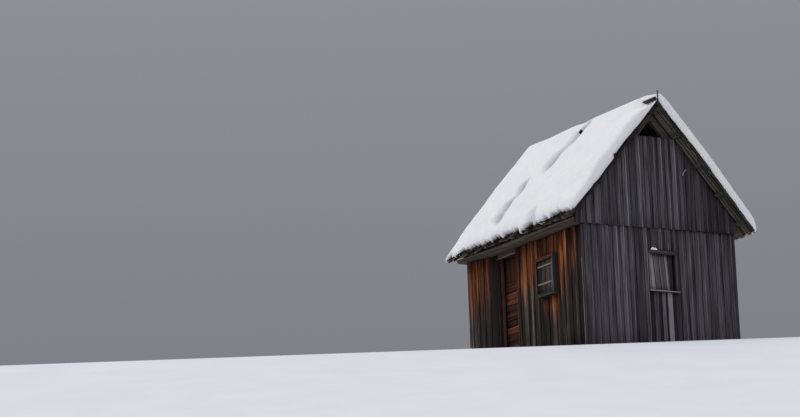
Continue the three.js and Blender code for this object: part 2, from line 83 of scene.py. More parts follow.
# A rise is its height and where it starts and ends down the slope. The hole is its place, height and width.
LEFT_VERGE_RISES = ((0.034, 0.60, 1.45), (0.034, 2.30, 3.20))
VERGE_HOLE = (LEFT_VERGE_STEP, 0.045, 0.028)
RIGHT_VERGE_RISE = (0.048, 0.35, 1.50)
RIGHT_VERGE_WAVES = 0.007
VERGE_LENGTHS = {-1: ((0.35, 1.700), (1.765, 3.38)), 1: ((0.30, 1.86), (1.865, 3.42))}
VERGE_TONES = (0.45, 0.95, 0.60, 1.00)
RAGGED_BUTT = 0.050
LATH_ABOVE_BUTT = 0.350
RIDGE_LIP = 0.068
BEAM_TAPER = 0.075
BEAM_TAPER_START = 0.90
BEAM_DRAWN_IN = 0.030

SLOPE_LENGTH = EAVE_REACH / math.cos(PITCH)
FIRST_BUTT = SLOPE_LENGTH - (COURSES - 1) * COURSE

X_AXIS = np.array([1.0, 0.0, 0.0])
Y_AXIS = np.array([0.0, 1.0, 0.0])
Z_AXIS = np.array([0.0, 0.0, 1.0])


def corners(*nodes):
    """Lowest and highest corner that the named nodes have together."""
    boxes = [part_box(node) for node in nodes]
    low = np.min([np.array(b[0]) for b in boxes], axis=0)
    high = np.max([np.array(b[1]) for b in boxes], axis=0)
    return low, high


def ripple(a, b, wavelength, seed):
    """Smooth uneven height, mostly -1 to 1: the sum of seven sine waves in random directions over (a, b),
    divided by 3.5."""
    rng = np.random.default_rng(seed)
    angle = rng.uniform(0, 2 * np.pi, 7)
    length = wavelength * rng.uniform(0.6, 1.6, 7)
    phase = rng.uniform(0, 2 * np.pi, 7)
    total = np.zeros(np.broadcast(a, b).shape)
    for turn, wave, start in zip(angle, length, phase):
        total = total + np.sin(2 * np.pi * (a * np.cos(turn) + b * np.sin(turn)) / wave + start)
    return total / 3.5


def smooth(x, low, high):
    """0 below low, 1 above high, and 3t^2 - 2t^3 between them."""
    t = np.clip((x - low) / (high - low), 0, 1)
    return t * t * (3 - 2 * t)


def steps(place, *moves):
    """Sum of smooth steps along a line, each given as its height and the places where it starts and ends."""
    return sum(height * smooth(place, low, high) for height, low, high in moves)


def bumps(place, *bends):
    """Sum of bell curves along a line, h exp(-((x - a) / w)^2), each given as its place a, height h and w."""
    return sum(height * np.exp(-(((place - at) / width) ** 2)) for at, height, width in bends)


# Materials


def linear(colour):
    """The linear colour of an sRGB hex string, or of one grey number that is linear already."""
    if not isinstance(colour, str):
        return [colour] * 3 + [1.0]
    values = [int(colour[i:i + 2], 16) / 255 for i in (1, 3, 5)]
    return [v / 12.92 if v <= 0.04045 else ((v + 0.055) / 1.055) ** 2.4 for v in values] + [1.0]


def plug(tree, node, inputs):
    """Links or sets input sockets of a node, each found by its place or name. A hex string is a colour."""
    for key, value in inputs.items():
        if isinstance(value, bpy.types.NodeSocket):
            tree.links.new(value, node.inputs[key])
        else:
            node.inputs[key].default_value = linear(value) if isinstance(value, str) else value


def add(tree, kind, *inputs, output=0, named=None, stops=(), **settings):
    """Adds a shader node with its settings, its inputs in order or by name and a ramp's stops.

    It gives back one output socket of the node."""
    made = tree.nodes.new("ShaderNode" + kind)
    for key, value in settings.items():
        setattr(made, key, value)
    plug(tree, made, {**dict(enumerate(inputs)), **(named or {})})
    if stops:
        elements = made.color_ramp.elements
        while len(elements) < len(stops):
            elements.new(0.5)
        for element, (place, colour) in zip(elements, stops):
            element.position = place
            element.color = linear(colour)
    return made.outputs[output]


def product(tree, value, *factors):
    """The product of sockets and numbers."""
    for factor in factors:
        value = add(tree, "Math", value, factor, operation="MULTIPLY")
    return value


def weighted(tree, *terms):
    """The sum of (socket, weight) pairs, each socket times its weight."""
    total, *others = [product(tree, socket, weight) for socket, weight in terms]
    for term in others:
        total = add(tree, "Math", total, term, operation="ADD")
    return total


def lessened(tree, value, share, strength=1.0):
    """The value less a share of it: value (1 - share strength)."""
    kept = add(tree, "Math", 1.0, product(tree, share, strength), operation="SUBTRACT")
    return product(tree, value, kept)


def mixed(tree, colour, other, share, strength=1.0):
    """The colour mixed towards another by a share, 0 to 1, times a strength."""
    factor = product(tree, share, strength)
    return add(tree, "Mix", factor, output=2, named={6: colour, 7: other}, data_type="RGBA")


def patches(tree, place, size_mm, detail, roughness=0.55, distortion=0.0):
    """Fractal noise, 0 to 1, whose patches measure about size_mm along the three axes of the place."""
    scaled = add(tree, "Mapping", place, named={"Scale": [1000 / size for size in size_mm]})
    settings = {"Scale": 1.0, "Detail": detail, "Roughness": roughness, "Distortion": distortion}
    return add(tree, "TexNoise", scaled, named=settings)


def blank(name):
    """A new node material, its tree and its principled shader."""
    material = bpy.data.materials.new(name)
    material.use_nodes = True
    tree = material.node_tree
    return material, tree, tree.nodes["Principled BSDF"]


def plank_traits(tree):
    """Tone of each plank, place across it from -1 to 1 and place along it, from the mesh's attribute."""
    trait = add(tree, "Attribute", output="Vector", attribute_name="plank")
    return list(add(tree, "SeparateXYZ", trait).node.outputs)


def place_axes(tree):
    """The three Object coordinates of a point, in metres."""
    return list(add(tree, "SeparateXYZ", add(tree, "TexCoord", output="Object")).node.outputs)


# Width and length of the marks on weathered wood, in millimetres. The real grain of mountain spruce is 1 to
# 2 mm wide, too fine to show from this far, so it is drawn 5 mm wide.
GRAIN_MM = (5.0, 260.0)
STREAK_MM = (25.0, 1300.0)
CHECK_MM = (9.0, 420.0)


def wood_pattern(tree, follow="UV", along=1):
    """Grain, streaks and drying checks of weathered wood: noise stretched along the board.

    The board runs along one axis of the piece's own UV map or of Object coordinates."""
    place = add(tree, "TexCoord", output=follow)

    def stretched(size_mm, *settings):
        sizes = [size_mm[0]] * 3
        sizes[along] = size_mm[1]
        return patches(tree, place, sizes, *settings)

    grain = stretched(GRAIN_MM, 5.0, 0.62)
    streak = stretched(STREAK_MM, 3.0, 0.5, 0.4)
    check = stretched(CHECK_MM, 2.0, 0.4, 0.8)
    return grain, streak, check


def wood_shader(tree, shader, grain, check, colour, roughness, depth_mm):
    """Joins colour, roughness and a bump of grain and checks to the principled shader."""
    cracks = add(tree, "ValToRGB", check, stops=[(0.60, 0.0), (0.68, 1.0)])
    height = add(tree, "Math", grain, product(tree, cracks, 0.8), operation="SUBTRACT")
    bump = add(tree, "Bump", named={"Height": height, "Distance": depth_mm / 1000, "Strength": 0.9})
    plug(tree, shader, {"Base Color": mixed(tree, colour, "#151312", cracks, 0.55), "Normal": bump,
                        "Roughness": roughness, "Specular IOR Level": 0.15})


def board_tint(tree, colour, tone):
    """The colour times a tint for each board, violet to blue green, picked by the last digits of its tone."""
    pick = add(tree, "Math", product(tree, tone, 17.0), operation="FRACT")
    tint = add(tree, "ValToRGB", pick, stops=[(0.0, "#fff0f8"), (0.5, "#faf6f8"), (1.0, "#eff7f6")])
    inputs = {6: colour, 7: tint}
    return add(tree, "Mix", 1.0, output=2, named=inputs, data_type="RGBA", blend_type="MULTIPLY")


def jointed(tree, colour, across):
    """The colour darkened by dirt and shadow where one board meets the next."""
    from_middle = add(tree, "Math", across, operation="ABSOLUTE")
    return mixed(tree, colour, "#0c0b0c", add(tree, "MapRange", from_middle, 0.80, 0.98), 0.75)


def board_wood(name, colours, edge, tone_share=0.15, roughness=0.9):
    """Sawn spruce grey from the weather, with a tone and tint for each board, and dark joints between boards.

    On some boards a pale line runs along one edge: a painted highlight, where that edge would catch the
    light."""
    material, tree, shader = blank(name)
    grain, streak, check = wood_pattern(tree)
    tone, across, _ = plank_traits(tree)
    value = weighted(tree, (tone, tone_share), (streak, 0.80 - tone_share), (grain, 0.20))
    colour = add(tree, "ValToRGB", value, stops=list(zip((0.36, 0.49, 0.64), colours)))
    colour = board_tint(tree, colour, tone)
    # Painted highlight: a pale line in the edge colour along one edge of the lighter boards.
    line = product(tree, add(tree, "MapRange", across, 0.58, 0.70), add(tree, "MapRange", across, 0.86, 0.80),
                   add(tree, "MapRange", tone, 0.40, 0.62), add(tree, "MapRange", streak, 0.36, 0.56))
    colour = jointed(tree, mixed(tree, colour, edge, line, 0.80), across)
    wood_shader(tree, shader, grain, check, colour, roughness, 1.5)
    return material


# Where the gable gets darker, in metres: from left to right, and up across the joint of its two tiers.
DARKENING_ACROSS = (0.3, 1.3)
DARKENING_ABOVE = (2.50, 2.56)


def darkened_gable_wood():
    """The gable's boards, which are darker towards the right, most of all above the joint."""
    # The colour after the three ramp colours is the painted highlight along one board edge.
    material = board_wood("weathered_spruce_boards", ("#252326", "#444145", "#67636a"), "#a5a1a8")
    tree = material.node_tree
    shader = tree.nodes["Principled BSDF"]
    x, _, z = place_axes(tree)
    upper = product(tree, add(tree, "MapRange", z, *DARKENING_ABOVE), 0.75)
    upper = add(tree, "Math", upper, 0.25, operation="ADD")
    # The boards are mixed towards near black to the right, most of all above the tier joint.
    darkening = product(tree, add(tree, "MapRange", x, *DARKENING_ACROSS), upper)
    plain_colour = shader.inputs["Base Color"].links[0].from_socket
    plug(tree, shader, {"Base Color": mixed(tree, plain_colour, "#1c1a1e", darkening, 0.62)})
    return material


# Sizes along X, Y and Z, in millimetres, of the ragged edge of the wet and of the boards that glow.
FRAY_MM = (1000.0, 60.0, 600.0)
GLOW_MM = (1000.0, 110.0, 1300.0)
# Places on the door wall, in metres: along it, then up it.
WINDOW_MIDDLE = -0.97
WINDOW_REACH = (0.42, 0.30)
DARKENED_CORNER = (-2.06, -1.84)
DULL_REARWARD = (-0.75, -0.35)
DULL_CORNER = (1.80, 2.15)
WINDOW_TOP = 2.05
WINDOW_FOOT = 1.24
WET_TO_DRY = (2.50, 3.20)


def sunburnt_wood():
    """Spruce boards under an eave: fox brown where the sun burnt them, black-grey where rain wets them.

    The brown fades below a ragged line, reaches lower under the window box, and dies out by the corner.
    Single boards glow golden, but not above the window. The line lies where the height z, raised by noise,
    by the board's own tone and by the shelter of the window, passes from wet to dry."""
    material, tree, shader = blank("sunburnt_spruce_boards")
    grain, streak, check = wood_pattern(tree)
    tone, across, _ = plank_traits(tree)
    place = add(tree, "TexCoord", output="Object")
    _, y, z = place_axes(tree)
    beside = add(tree, "Math", y, WINDOW_MIDDLE, operation="SUBTRACT")
    near_window = add(tree, "MapRange", add(tree, "Math", beside, operation="ABSOLUTE"), *WINDOW_REACH)
    fray = patches(tree, place, FRAY_MM, 2.0)
    dry = weighted(tree, (z, 1.0), (fray, 2.2), (tone, 0.3), (near_window, 0.62))
    dry = add(tree, "MapRange", dry, *WET_TO_DRY)
    sheltered = product(tree, near_window, add(tree, "MapRange", z, WINDOW_FOOT - 0.45, WINDOW_FOOT - 0.20))
    patch = patches(tree, place, GLOW_MM, 1.0)
    glow = weighted(tree, (patch, 0.55), (streak, 0.55), (grain, 0.20), (sheltered, 0.06))
    glow = add(tree, "MapRange", glow, 0.64, 0.76)
    over_window = product(tree, near_window, add(tree, "MapRange", z, WINDOW_TOP - 0.1, WINDOW_TOP))
    rearward = product(tree, add(tree, "MapRange", y, *DULL_REARWARD), 0.35)
    rearward = add(tree, "Math", rearward, add(tree, "MapRange", y, *DULL_CORNER), operation="MAXIMUM")
    glow = lessened(tree, lessened(tree, glow, over_window, 0.85), rearward)
    value = weighted(tree, (tone, 0.16), (streak, 0.56), (grain, 0.28))
    brown = [(0.38, "#110705"), (0.46, "#33160d"), (0.54, "#502413"), (0.64, "#774024")]
    gold = [(0.38, "#552611"), (0.50, "#934b1e"), (0.62, "#c08043")]
    grey = [(0.38, "#0d0a0a"), (0.50, "#241e1c"), (0.57, "#3a322f"), (0.66, "#80746c")]
    brown, gold, grey = (add(tree, "ValToRGB", value, stops=stops) for stops in (brown, gold, grey))
    colour = mixed(tree, grey, mixed(tree, brown, gold, glow), dry)
    # Towards the front corner the boards are mixed towards near black.
    corner_darkening = lessened(tree, 0.85, add(tree, "MapRange", y, *DARKENED_CORNER))
    colour = jointed(tree, mixed(tree, colour, "#171415", corner_darkening), across)
    wood_shader(tree, shader, grain, check, colour, 0.86, 1.6)
    return material


def hewn_timber(name, colours, follow="UV", along=1, shaded=False):
    """Squared timber left rough from the axe: long streaks, drying checks and a grey weathered skin.

    On a shaded one the lower half of the face is darkened with painted shade."""
    material, tree, shader = blank(name)
    grain, streak, check = wood_pattern(tree, follow, along)
    value = weighted(tree, (streak, 0.6), (grain, 0.4))
    colour = add(tree, "ValToRGB", value, stops=list(zip((0.28, 0.50, 0.76), colours)))
    if shaded:
        _, across, _ = plank_traits(tree)
        # Painted shade: the lower half of the face is mixed towards near black.
        colour = mixed(tree, colour, "#1b1413", add(tree, "MapRange", across, 0.25, -0.30), 0.55)
    wood_shader(tree, shader, grain, check, colour, 0.88, 1.6)
    return material


MOSS_MM = 110.0
# The left slope's shakes are wet, in metres across the ridge; moss grows by the right verge, along X and Y.
WET_SIDE = (0.03, -0.05)
MOSS_ACROSS = (0.05, 0.15)
MOSS_VERGE = (-2.30, -2.37)


def shake_wood():
    """Split shakes, grey brown with worn pale edges, wet on the left slope, mossy along the right verge."""
    material, tree, shader = blank("split_spruce_shakes")
    grain, streak, check = wood_pattern(tree)
    tone, across, along = plank_traits(tree)
    value = weighted(tree, (tone, 0.45), (streak, 0.35), (grain, 0.20))
    colour = add(tree, "ValToRGB", value, stops=[(0.28, "#1b1816"), (0.50, "#3c3732"), (0.74, "#766b60")])
    rim = add(tree, "MapRange", add(tree, "Math", across, operation="ABSOLUTE"), 0.70, 0.98)
    butt = add(tree, "MapRange", along, 0.955, 0.995)
    pale = add(tree, "Math", product(tree, rim, 0.5), butt, operation="MAXIMUM")
    pale = product(tree, pale, add(tree, "MapRange", tone, 0.35, 1.0))
    colour = mixed(tree, colour, "#8f8577", pale, 0.7)
    x, y, _ = place_axes(tree)
    wet_and_shade = product(tree, add(tree, "MapRange", x, *WET_SIDE), add(tree, "MapRange", butt, 1.9, 0.3))
    colour = mixed(tree, colour, "#17100d", wet_and_shade, 0.70)
    patch = patches(tree, add(tree, "TexCoord", output="Object"), [MOSS_MM] * 3, 3.0)
    moss = product(tree, add(tree, "MapRange", x, *MOSS_ACROSS), add(tree, "MapRange", y, *MOSS_VERGE),
                   add(tree, "MapRange", patch, 0.30, 0.50))
    wood_shader(tree, shader, grain, check, mixed(tree, colour, "#29312a", moss, 0.9), 0.93, 2.0)
    return material


# Real grains of old snow measure a few millimetres and would not show, so they are drawn as small clods.
SNOW_GRAIN_MM = 14.0
SNOW_CRUST_MM = 160.0
MELT_FULL = 0.110


def settled_snow():
    """Settled snow: a bright matt white with a little light inside it, a fine grain and soft crust waves.

    In the melted hollows, whose depth the mesh marks, it is grey with painted shade, in uneven patches."""
    material, tree, shader = blank("settled_snow")
    place = add(tree, "TexCoord", output="Object")
    fine = patches(tree, place, [SNOW_GRAIN_MM] * 3, 3.0, 0.6)
    crust = patches(tree, place, [SNOW_CRUST_MM] * 3, 3.0, 0.5)
    white = add(tree, "ValToRGB", crust, stops=[(0.30, "#dededf"), (0.65, "#e4e3e3")])
    melt = add(tree, "Attribute", output="Fac", attribute_name="melt")
    uneven = add(tree, "Math", product(tree, crust, 1.3), 0.30, operation="ADD")
    # Painted shade: the snow greys in the melted hollows, more where they are deeper.
    wet_and_shade = product(tree, add(tree, "MapRange", melt, 0.0, MELT_FULL), uneven)
    height = weighted(tree, (fine, 0.20), (crust, 0.45))
    bump = add(tree, "Bump", named={"Height": height, "Distance": 0.012, "Strength": 0.5})
    plug(tree, shader, {"Base Color": mixed(tree, white, "#a9acb5", wet_and_shade), "Normal": bump, "Roughness": 0.8,
                        "Specular IOR Level": 0.3, "Subsurface Weight": 0.30,
                        "Subsurface Radius": (0.025, 0.040, 0.060)})
    return material


# Real rust pits are about 1 mm wide and would not show, so they are drawn coarser.
PIT_MM = 6.25


def forged_iron():
    """Old forged iron: brown-black scale with orange rust, dull and pitted."""
    material, tree, shader = blank("forged_iron")
    pits = patches(tree, add(tree, "TexCoord", output="Object"), [PIT_MM] * 3, 5.0, 0.6)
    colour = add(tree, "ValToRGB", pits, stops=[(0.35, "#1f1b19"), (0.55, "#3a2a22"), (0.75, "#6b3f26")])
    bump = add(tree, "Bump", named={"Height": pits, "Distance": 0.001, "Strength": 0.6})
    plug(tree, shader, {"Base Color": colour, "Normal": bump, "Metallic": 0.6, "Roughness": 0.7})
    return material


# In each board wood the colour after the three ramp colours is its painted highlight along one board edge.
GABLE_WOOD = darkened_gable_wood()
BACK_WOOD = board_wood("weathered_spruce_boards_rear", ("#282629", "#444145", "#625f66"), "#96929a")
WINDOW_WOOD = board_wood("weathered_window_boards", ("#231f20", "#524c4e", "#938d8c"), "#aea6a1", 0.6)
SHUTTER_WOOD = board_wood("rain_blackened_boards", ("#120f0f", "#292322", "#858079"), "#4b4644", 0.6)
DOOR_WOOD = board_wood("fox_brown_door_planks", ("#200f0b", "#402018", "#6d3c27"), "#7d4e33", 0.25, 0.8)
BLEACHED_WOOD = board_wood("bleached_boards_under_window", ("#201e20", "#434044", "#827f83"), "#9f9aa0", 0.5)
SUNBURNT = sunburnt_wood()
SHAKES = shake_wood()
DARK_TIMBER = hewn_timber("dark_jamb_timber", ("#150d0b", "#33231e", "#5a4034"))
HEWN = hewn_timber("hewn_spruce_beam", ("#302926", "#62574f", "#9c8f84"), shaded=True)
LINTEL_WOOD = hewn_timber("worn_brown_lintel", ("#1c1310", "#40302a", "#6b5142"), "Object", 1)
JAMB_WOOD = hewn_timber("worn_brown_jamb", ("#241813", "#523c31", "#84654f"))
INSIDE = hewn_timber("smoky_timber_upright", ("#1d1a18", "#37312c", "#5a5048"), "Object", 2)
INSIDE_X = hewn_timber("smoky_timber_crosswise", ("#26211e", "#4b433d", "#766a60"), "Object", 0)
INSIDE_Y = hewn_timber("smoky_timber_lengthwise", ("#1d1a18", "#37312c", "#5a5048"), "Object", 1)
SNOW = settled_snow()
IRON = forged_iron()


# Meshes


def plank_ring(width, depth, ease):
    """Section of a board with eased edges: eight points round a rectangle, the first and last on its back.

    It is centred across and goes out from 0 to the depth. Width and depth are arrays with one value for each
    plank, and the result is (across, out), each with a row of eight for each plank."""
    half = width[:, None] / 2
    deep = depth[:, None]
    rim = half - ease
    third = half / 3
    across = np.concatenate([half, half, rim, third, -third, -rim, -half, -half], axis=1)
    face = np.repeat(deep, 4, axis=1)
    shoulder = deep - ease
    out = np.concatenate([deep * 0, shoulder, face, shoulder, deep * 0], axis=1)
    return across, out


def ring_lengths(across, out):
    """Distance round each ring from its first point, in metres."""
    step = np.hypot(np.diff(across, axis=1), np.diff(out, axis=1))
    return np.concatenate([np.zeros((len(across), 1)), np.cumsum(step, axis=1)], axis=1)


def part(points, across, out, length, tone, rng, ways):
    """One set of planks as arrays for build(): points, UV in metres and (tone, across, along) of a point."""
    count, stations, ring = points.shape[:3]
    along = np.linspace(0, 1, stations)
    shift = rng.uniform(0, 40, (count, 1, 1, 2))
    uv = np.zeros((count, stations, ring, 2))
    uv[..., 0] = ring_lengths(across, out)[:, None, :]
    uv[..., 1] = (along[None, :] * length[:, None])[:, :, None]
    traits = np.zeros((count, stations, ring, 3))
    traits[..., 0] = tone[:, None, None]
    traits[..., 1] = (across / np.abs(across).max(axis=1, keepdims=True))[:, None, :]
    traits[..., 2] = along[None, :, None]
    turn = np.dot(np.cross(ways[0], ways[1]), ways[2])
    return {"points": points, "uv": uv + shift, "traits": traits, "flip": turn < 0}


def planks(start, end, across_way, out_way, width, depth, seed, stations=5, drift=0.002, tone=None,
           ease=EASE):
    """Boards carried in straight lines from start to end.

    Each station of a board moves a little sideways and inwards, by a normal draw of size drift, and its face
    rises and falls by half as much, so no board is quite flat or straight."""
    rng = np.random.default_rng(seed)
    start, end = np.broadcast_arrays(np.atleast_2d(start), np.atleast_2d(end))
    count = len(start)
    width = np.broadcast_to(np.asarray(width, float), (count,))
    depth = np.broadcast_to(np.asarray(depth, float), (count,))
    across, out = plank_ring(width, depth, ease)
    along = np.linspace(0, 1, stations)
    centre = start[:, None] + (end - start)[:, None] * along[None, :, None]
    sideways = rng.normal(0, drift, (count, stations, 1))
    inwards = -np.abs(rng.normal(0, drift, (count, stations, 1)))
    faces = inwards - (np.abs(rng.normal(0, drift / 2, out.shape)) * (out > 0))[:, None]
    points = centre[:, :, None, :] + (across[:, None] + sideways)[..., None] * across_way
    points = points + (out[:, None] + faces)[..., None] * out_way
    if tone is None:
        tone = rng.uniform(0, 1, count)
    length = np.linalg.norm(end - start, axis=1)
    ways = (across_way, out_way, end[0] - start[0])
    return part(points, across, out, length, np.broadcast_to(tone, (count,)), rng, ways)


def build(name, parts, material, nodes=(), body="hut"):
    """Makes one object from the parts: quads between the stations of each plank and a cap at each end."""
    points = np.concatenate([p["points"].reshape(-1, 3) for p in parts])
    uvs = np.concatenate([p["uv"].reshape(-1, 2) for p in parts])
    traits = np.concatenate([p["traits"].reshape(-1, 3) for p in parts])
    loops = []
    sizes = []
    offset = 0
    for p in parts:
        count, stations, ring = p["points"].shape[:3]
        index = np.arange(count * stations * ring).reshape(count, stations, ring) + offset
        offset += index.size
        ahead = np.roll(index, -1, axis=2)
        quads = np.stack([index[:, :-1], ahead[:, :-1], ahead[:, 1:], index[:, 1:]], axis=-1).reshape(-1, 4)
        caps = np.concatenate([index[:, 0, ::-1], index[:, -1]])
        for faces in (quads, caps):
            loops.append((faces[:, ::-1] if p["flip"] else faces).ravel())
            sizes.append(np.full(len(faces), faces.shape[1]))
    made = mesh_object(name, points, np.concatenate(loops), np.concatenate(sizes), uvs)
    trait = made.data.attributes.new("plank", "FLOAT_VECTOR", "POINT")
    trait.data.foreach_set("vector", traits.ravel())
    finish_piece(made, material, nodes, body)
    return made


def mesh_object(name, points, loops, sizes, uvs):
    """A mesh object at the origin from flat arrays of points, face corners and face sizes."""
    mesh = bpy.data.meshes.new(name)
    mesh.vertices.add(len(points))
    mesh.vertices.foreach_set("co", np.ascontiguousarray(points, dtype=np.float32).ravel())
    mesh.loops.add(len(loops))
    mesh.loops.foreach_set("vertex_index", loops.astype(np.int32))
    mesh.polygons.add(len(sizes))
    mesh.polygons.foreach_set("loop_start", (np.cumsum(sizes) - sizes).astype(np.int32))
    layer = mesh.uv_layers.new(name="UVMap")
    layer.data.foreach_set("uv", uvs[loops].astype(np.float32).ravel())
    mesh.update(calc_edges=True)
    mesh.validate()
    made = bpy.data.objects.new(name, mesh)
    bpy.context.scene.collection.objects.link(made)
    return made


def sheet_object(name, points, faces, smooth_faces=True):
    """A mesh object of quads with X and Y as its UV, shaded smooth on all faces or on the marked ones."""
    made = mesh_object(name, points, faces.ravel(), np.full(len(faces), 4), points[:, :2])
    made.data.polygons.foreach_set("use_smooth", np.resize(smooth_faces, len(faces)))
    return made


def finish_piece(made, material, nodes, body):
    """Gives a piece its material and its body, and hides the nodes that it stands for."""
    made.data.materials.append(material)
    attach(made, body)
    if nodes:
        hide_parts(*nodes)


def sheet_faces(rows, columns, offset=0):
    """Quads of a grid of rows by columns points, turned so that the normal is row way cross column way."""
    index = np.arange(rows * columns).reshape(rows, columns) + offset
    return np.stack([index[:-1, :-1], index[1:, :-1], index[1:, 1:], index[:-1, 1:]], axis=-1).reshape(-1, 4)


# Walls of upright boards

BOARD_STATIONS = 7
BOARD_DRIFT = 0.0022
BOARD_DENTS = 0.0014
RAGGED_FOOT = 0.006
RAGGED_HEAD_SHARE = 0.3
TONE_MEAN = 0.47
TONE_SPREAD = 0.26
PROUD_TONE = 0.12


def fill(low, high, pitch, seed):
    """Edges of boards that fill low to high: equal shares, each varied by up to a quarter."""
    rng = np.random.default_rng(seed)
    count = max(1, round((high - low) / pitch))
    shares = rng.uniform(0.75, 1.25, count)
    return low + (high - low) * np.concatenate([[0], np.cumsum(shares) / shares.sum()])


def upright_boards(origin, across_way, out_way, low, high, bottom, top, seed, tones=None, pitch=BOARD_PITCH):
    """Boards side by side from low to high, every second one proud and lapping its neighbours.

    bottom and top are functions of the place across, so that ends can follow a slope. The ends are ragged."""
    rng = np.random.default_rng(seed)
    edges = fill(low, high, pitch, seed)
    proud = np.arange(len(edges) - 1) % 2 == 1
    lap = np.where(proud, BOARD_LAP / 2, BOARD_LAP)
    left = np.maximum(edges[:-1] - lap, low)
    right = np.minimum(edges[1:] + lap, high)
    inner = np.where(proud, BOARD_INNER, TOUCH)
    face = np.where(proud, BOARD, BOARD_INNER) - TOUCH
    across, out = plank_ring(right - left, face - inner, EASE)
    centre = (left + right) / 2
    count = len(centre)
    sideways = rng.normal(0, BOARD_DRIFT, (count, BOARD_STATIONS, 1))
    dents = -np.abs(rng.normal(0, BOARD_DENTS, (count, BOARD_STATIONS, across.shape[1]))) * (out[:, None] > 0)
    place = np.clip(centre[:, None, None] + across[:, None] + sideways, low, high)
    ragged = np.abs(rng.normal(0, RAGGED_FOOT, (2, count, 1, 1)))
    foot = bottom(place) + ragged[0]
    head = top(place) - ragged[1] * RAGGED_HEAD_SHARE
    up = foot + (head - foot) * np.linspace(0, 1, BOARD_STATIONS)[None, :, None]
    level = inner[:, None, None] + out[:, None] + dents
    points = origin + place[..., None] * across_way + level[..., None] * out_way + up[..., None] * Z_AXIS
    length = (head - foot)[:, 0, :].max(axis=1)
    if tones is None:
        tone = rng.normal(TONE_MEAN, TONE_SPREAD, count) + np.where(proud, PROUD_TONE, -PROUD_TONE)
        tone = np.clip(tone, 0, 1)
    else:
        tone = np.resize(tones, count)
    return part(points, across, out, length, tone, rng, (across_way, out_way, Z_AXIS))


def level_line(value):
    """A board end at one height, whatever the place across."""
    return lambda place: np.full(np.shape(place), value)


# How far the shakes and the laths reach below the top line of the shakes, square to the slope, and the
# heights in the hut's middle plane where the lower sides of both slopes would meet.
SHAKES_BELOW = 0.062
LATHS_BELOW = 0.1203
UNDER_SHAKES = RIDGE - SHAKES_BELOW / math.cos(PITCH)
UNDER_LATHS = RIDGE - LATHS_BELOW / math.cos(PITCH)


def gable_line(flat_top):
    """Board tops that follow the roof up to a level top edge.

    They fall by tan(pitch) for each metre from the middle. On the left they are notched round the laths and
    reach the shakes. On the right they stop under the laths."""

    def top(place):
        under = np.where(place < 0, UNDER_SHAKES, UNDER_LATHS)
        return np.minimum(under - math.tan(PITCH) * np.abs(place), flat_top)

    return top


UNDER_WINDOW_TONES = np.array([0.20, 0.46, 0.20, 0.56, 0.14, 0.86, 0.24, 0.36])
TIER_JOINT_SLOPE = 0.0185
TIER_DROP = 0.022
CORNER_STRIP_OUT = 0.006
CORNER_STRIP_WIDTH = 0.016
CORNER_STRIP_TOP = 1.800
SILL_LAP = 0.015
SLIVER_AT = (0.655, 3.690)
SLIVER_LENGTH = 0.120
SLIVER_SECTION = (0.024, 0.005)
SLIVER_CURL = 0.055


def build_front_wall():
    """The window gable: boards beside, over and under the window, and an upper tier that laps over them."""
    low, high = corners("boards_front")
    window_low, window_high = corners("front_window_frame")
    face = low[1]
    origin = np.array([0.0, face + BOARD, 0.0])
    frame_side = (window_low[0] + SILL_LAP, window_high[0] - SILL_LAP)
    ways = (origin, X_AXIS, -Y_AXIS)
    top = level_line(high[2])
    foot = level_line(low[2])
    parts = [
        upright_boards(*ways, low[0], frame_side[0] - BOARD_GAP, foot, top, 11),
        upright_boards(*ways, frame_side[1] + BOARD_GAP, high[0], foot, top, 12),
        upright_boards(*ways, *frame_side, level_line(window_high[2] + BOARD_GAP), top, 15),
    ]
    build("wall_boards_front", parts, GABLE_WOOD, ["boards_front"])
    under = upright_boards(*ways, *frame_side, foot, level_line(window_low[2] - BOARD_GAP), 13,
                           UNDER_WINDOW_TONES)
    build("wall_boards_under_window", [under], BLEACHED_WOOD, ["boards_front"])
    # A pale strip up the corner: a painted highlight for the lit side edges of the gable boards.
    strip = bar([low[0] - CORNER_STRIP_OUT, low[1] + TOUCH, low[2]],
                [low[0] - TOUCH, low[1] + CORNER_STRIP_WIDTH, CORNER_STRIP_TOP], "Z", -X_AXIS, 16, 0.735)
    build("corner_strip", [strip], WINDOW_WOOD, ())
    low, high = corners("boards_front_gable")
    origin = np.array([0.0, face, 0.0])

    def joint(place):
        return low[2] - TIER_DROP + TIER_JOINT_SLOPE * (place - low[0])

    upper = upright_boards(origin, X_AXIS, -Y_AXIS, low[0], high[0], joint, gable_line(high[2]), 14)
    build("wall_boards_front_gable", [upper], GABLE_WOOD, ["boards_front_gable"])
    build("torn_sliver", [torn_sliver(low[1])], WINDOW_WOOD, ())


def torn_sliver(face):
    """A sliver torn from a gable board that bends out and to the right, by the square of its height."""
    start = np.array([SLIVER_AT[0], face - TOUCH, SLIVER_AT[1]])
    end = start + SLIVER_LENGTH * Z_AXIS
    sliver = planks(start, end, X_AXIS, -Y_AXIS, *SLIVER_SECTION, 17, 9, 0.001, [0.9], 0.002)
    along = sliver["traits"][..., 2:]
    sliver["points"] = sliver["points"] + SLIVER_CURL * along**2 * (X_AXIS - Y_AXIS)
    return sliver


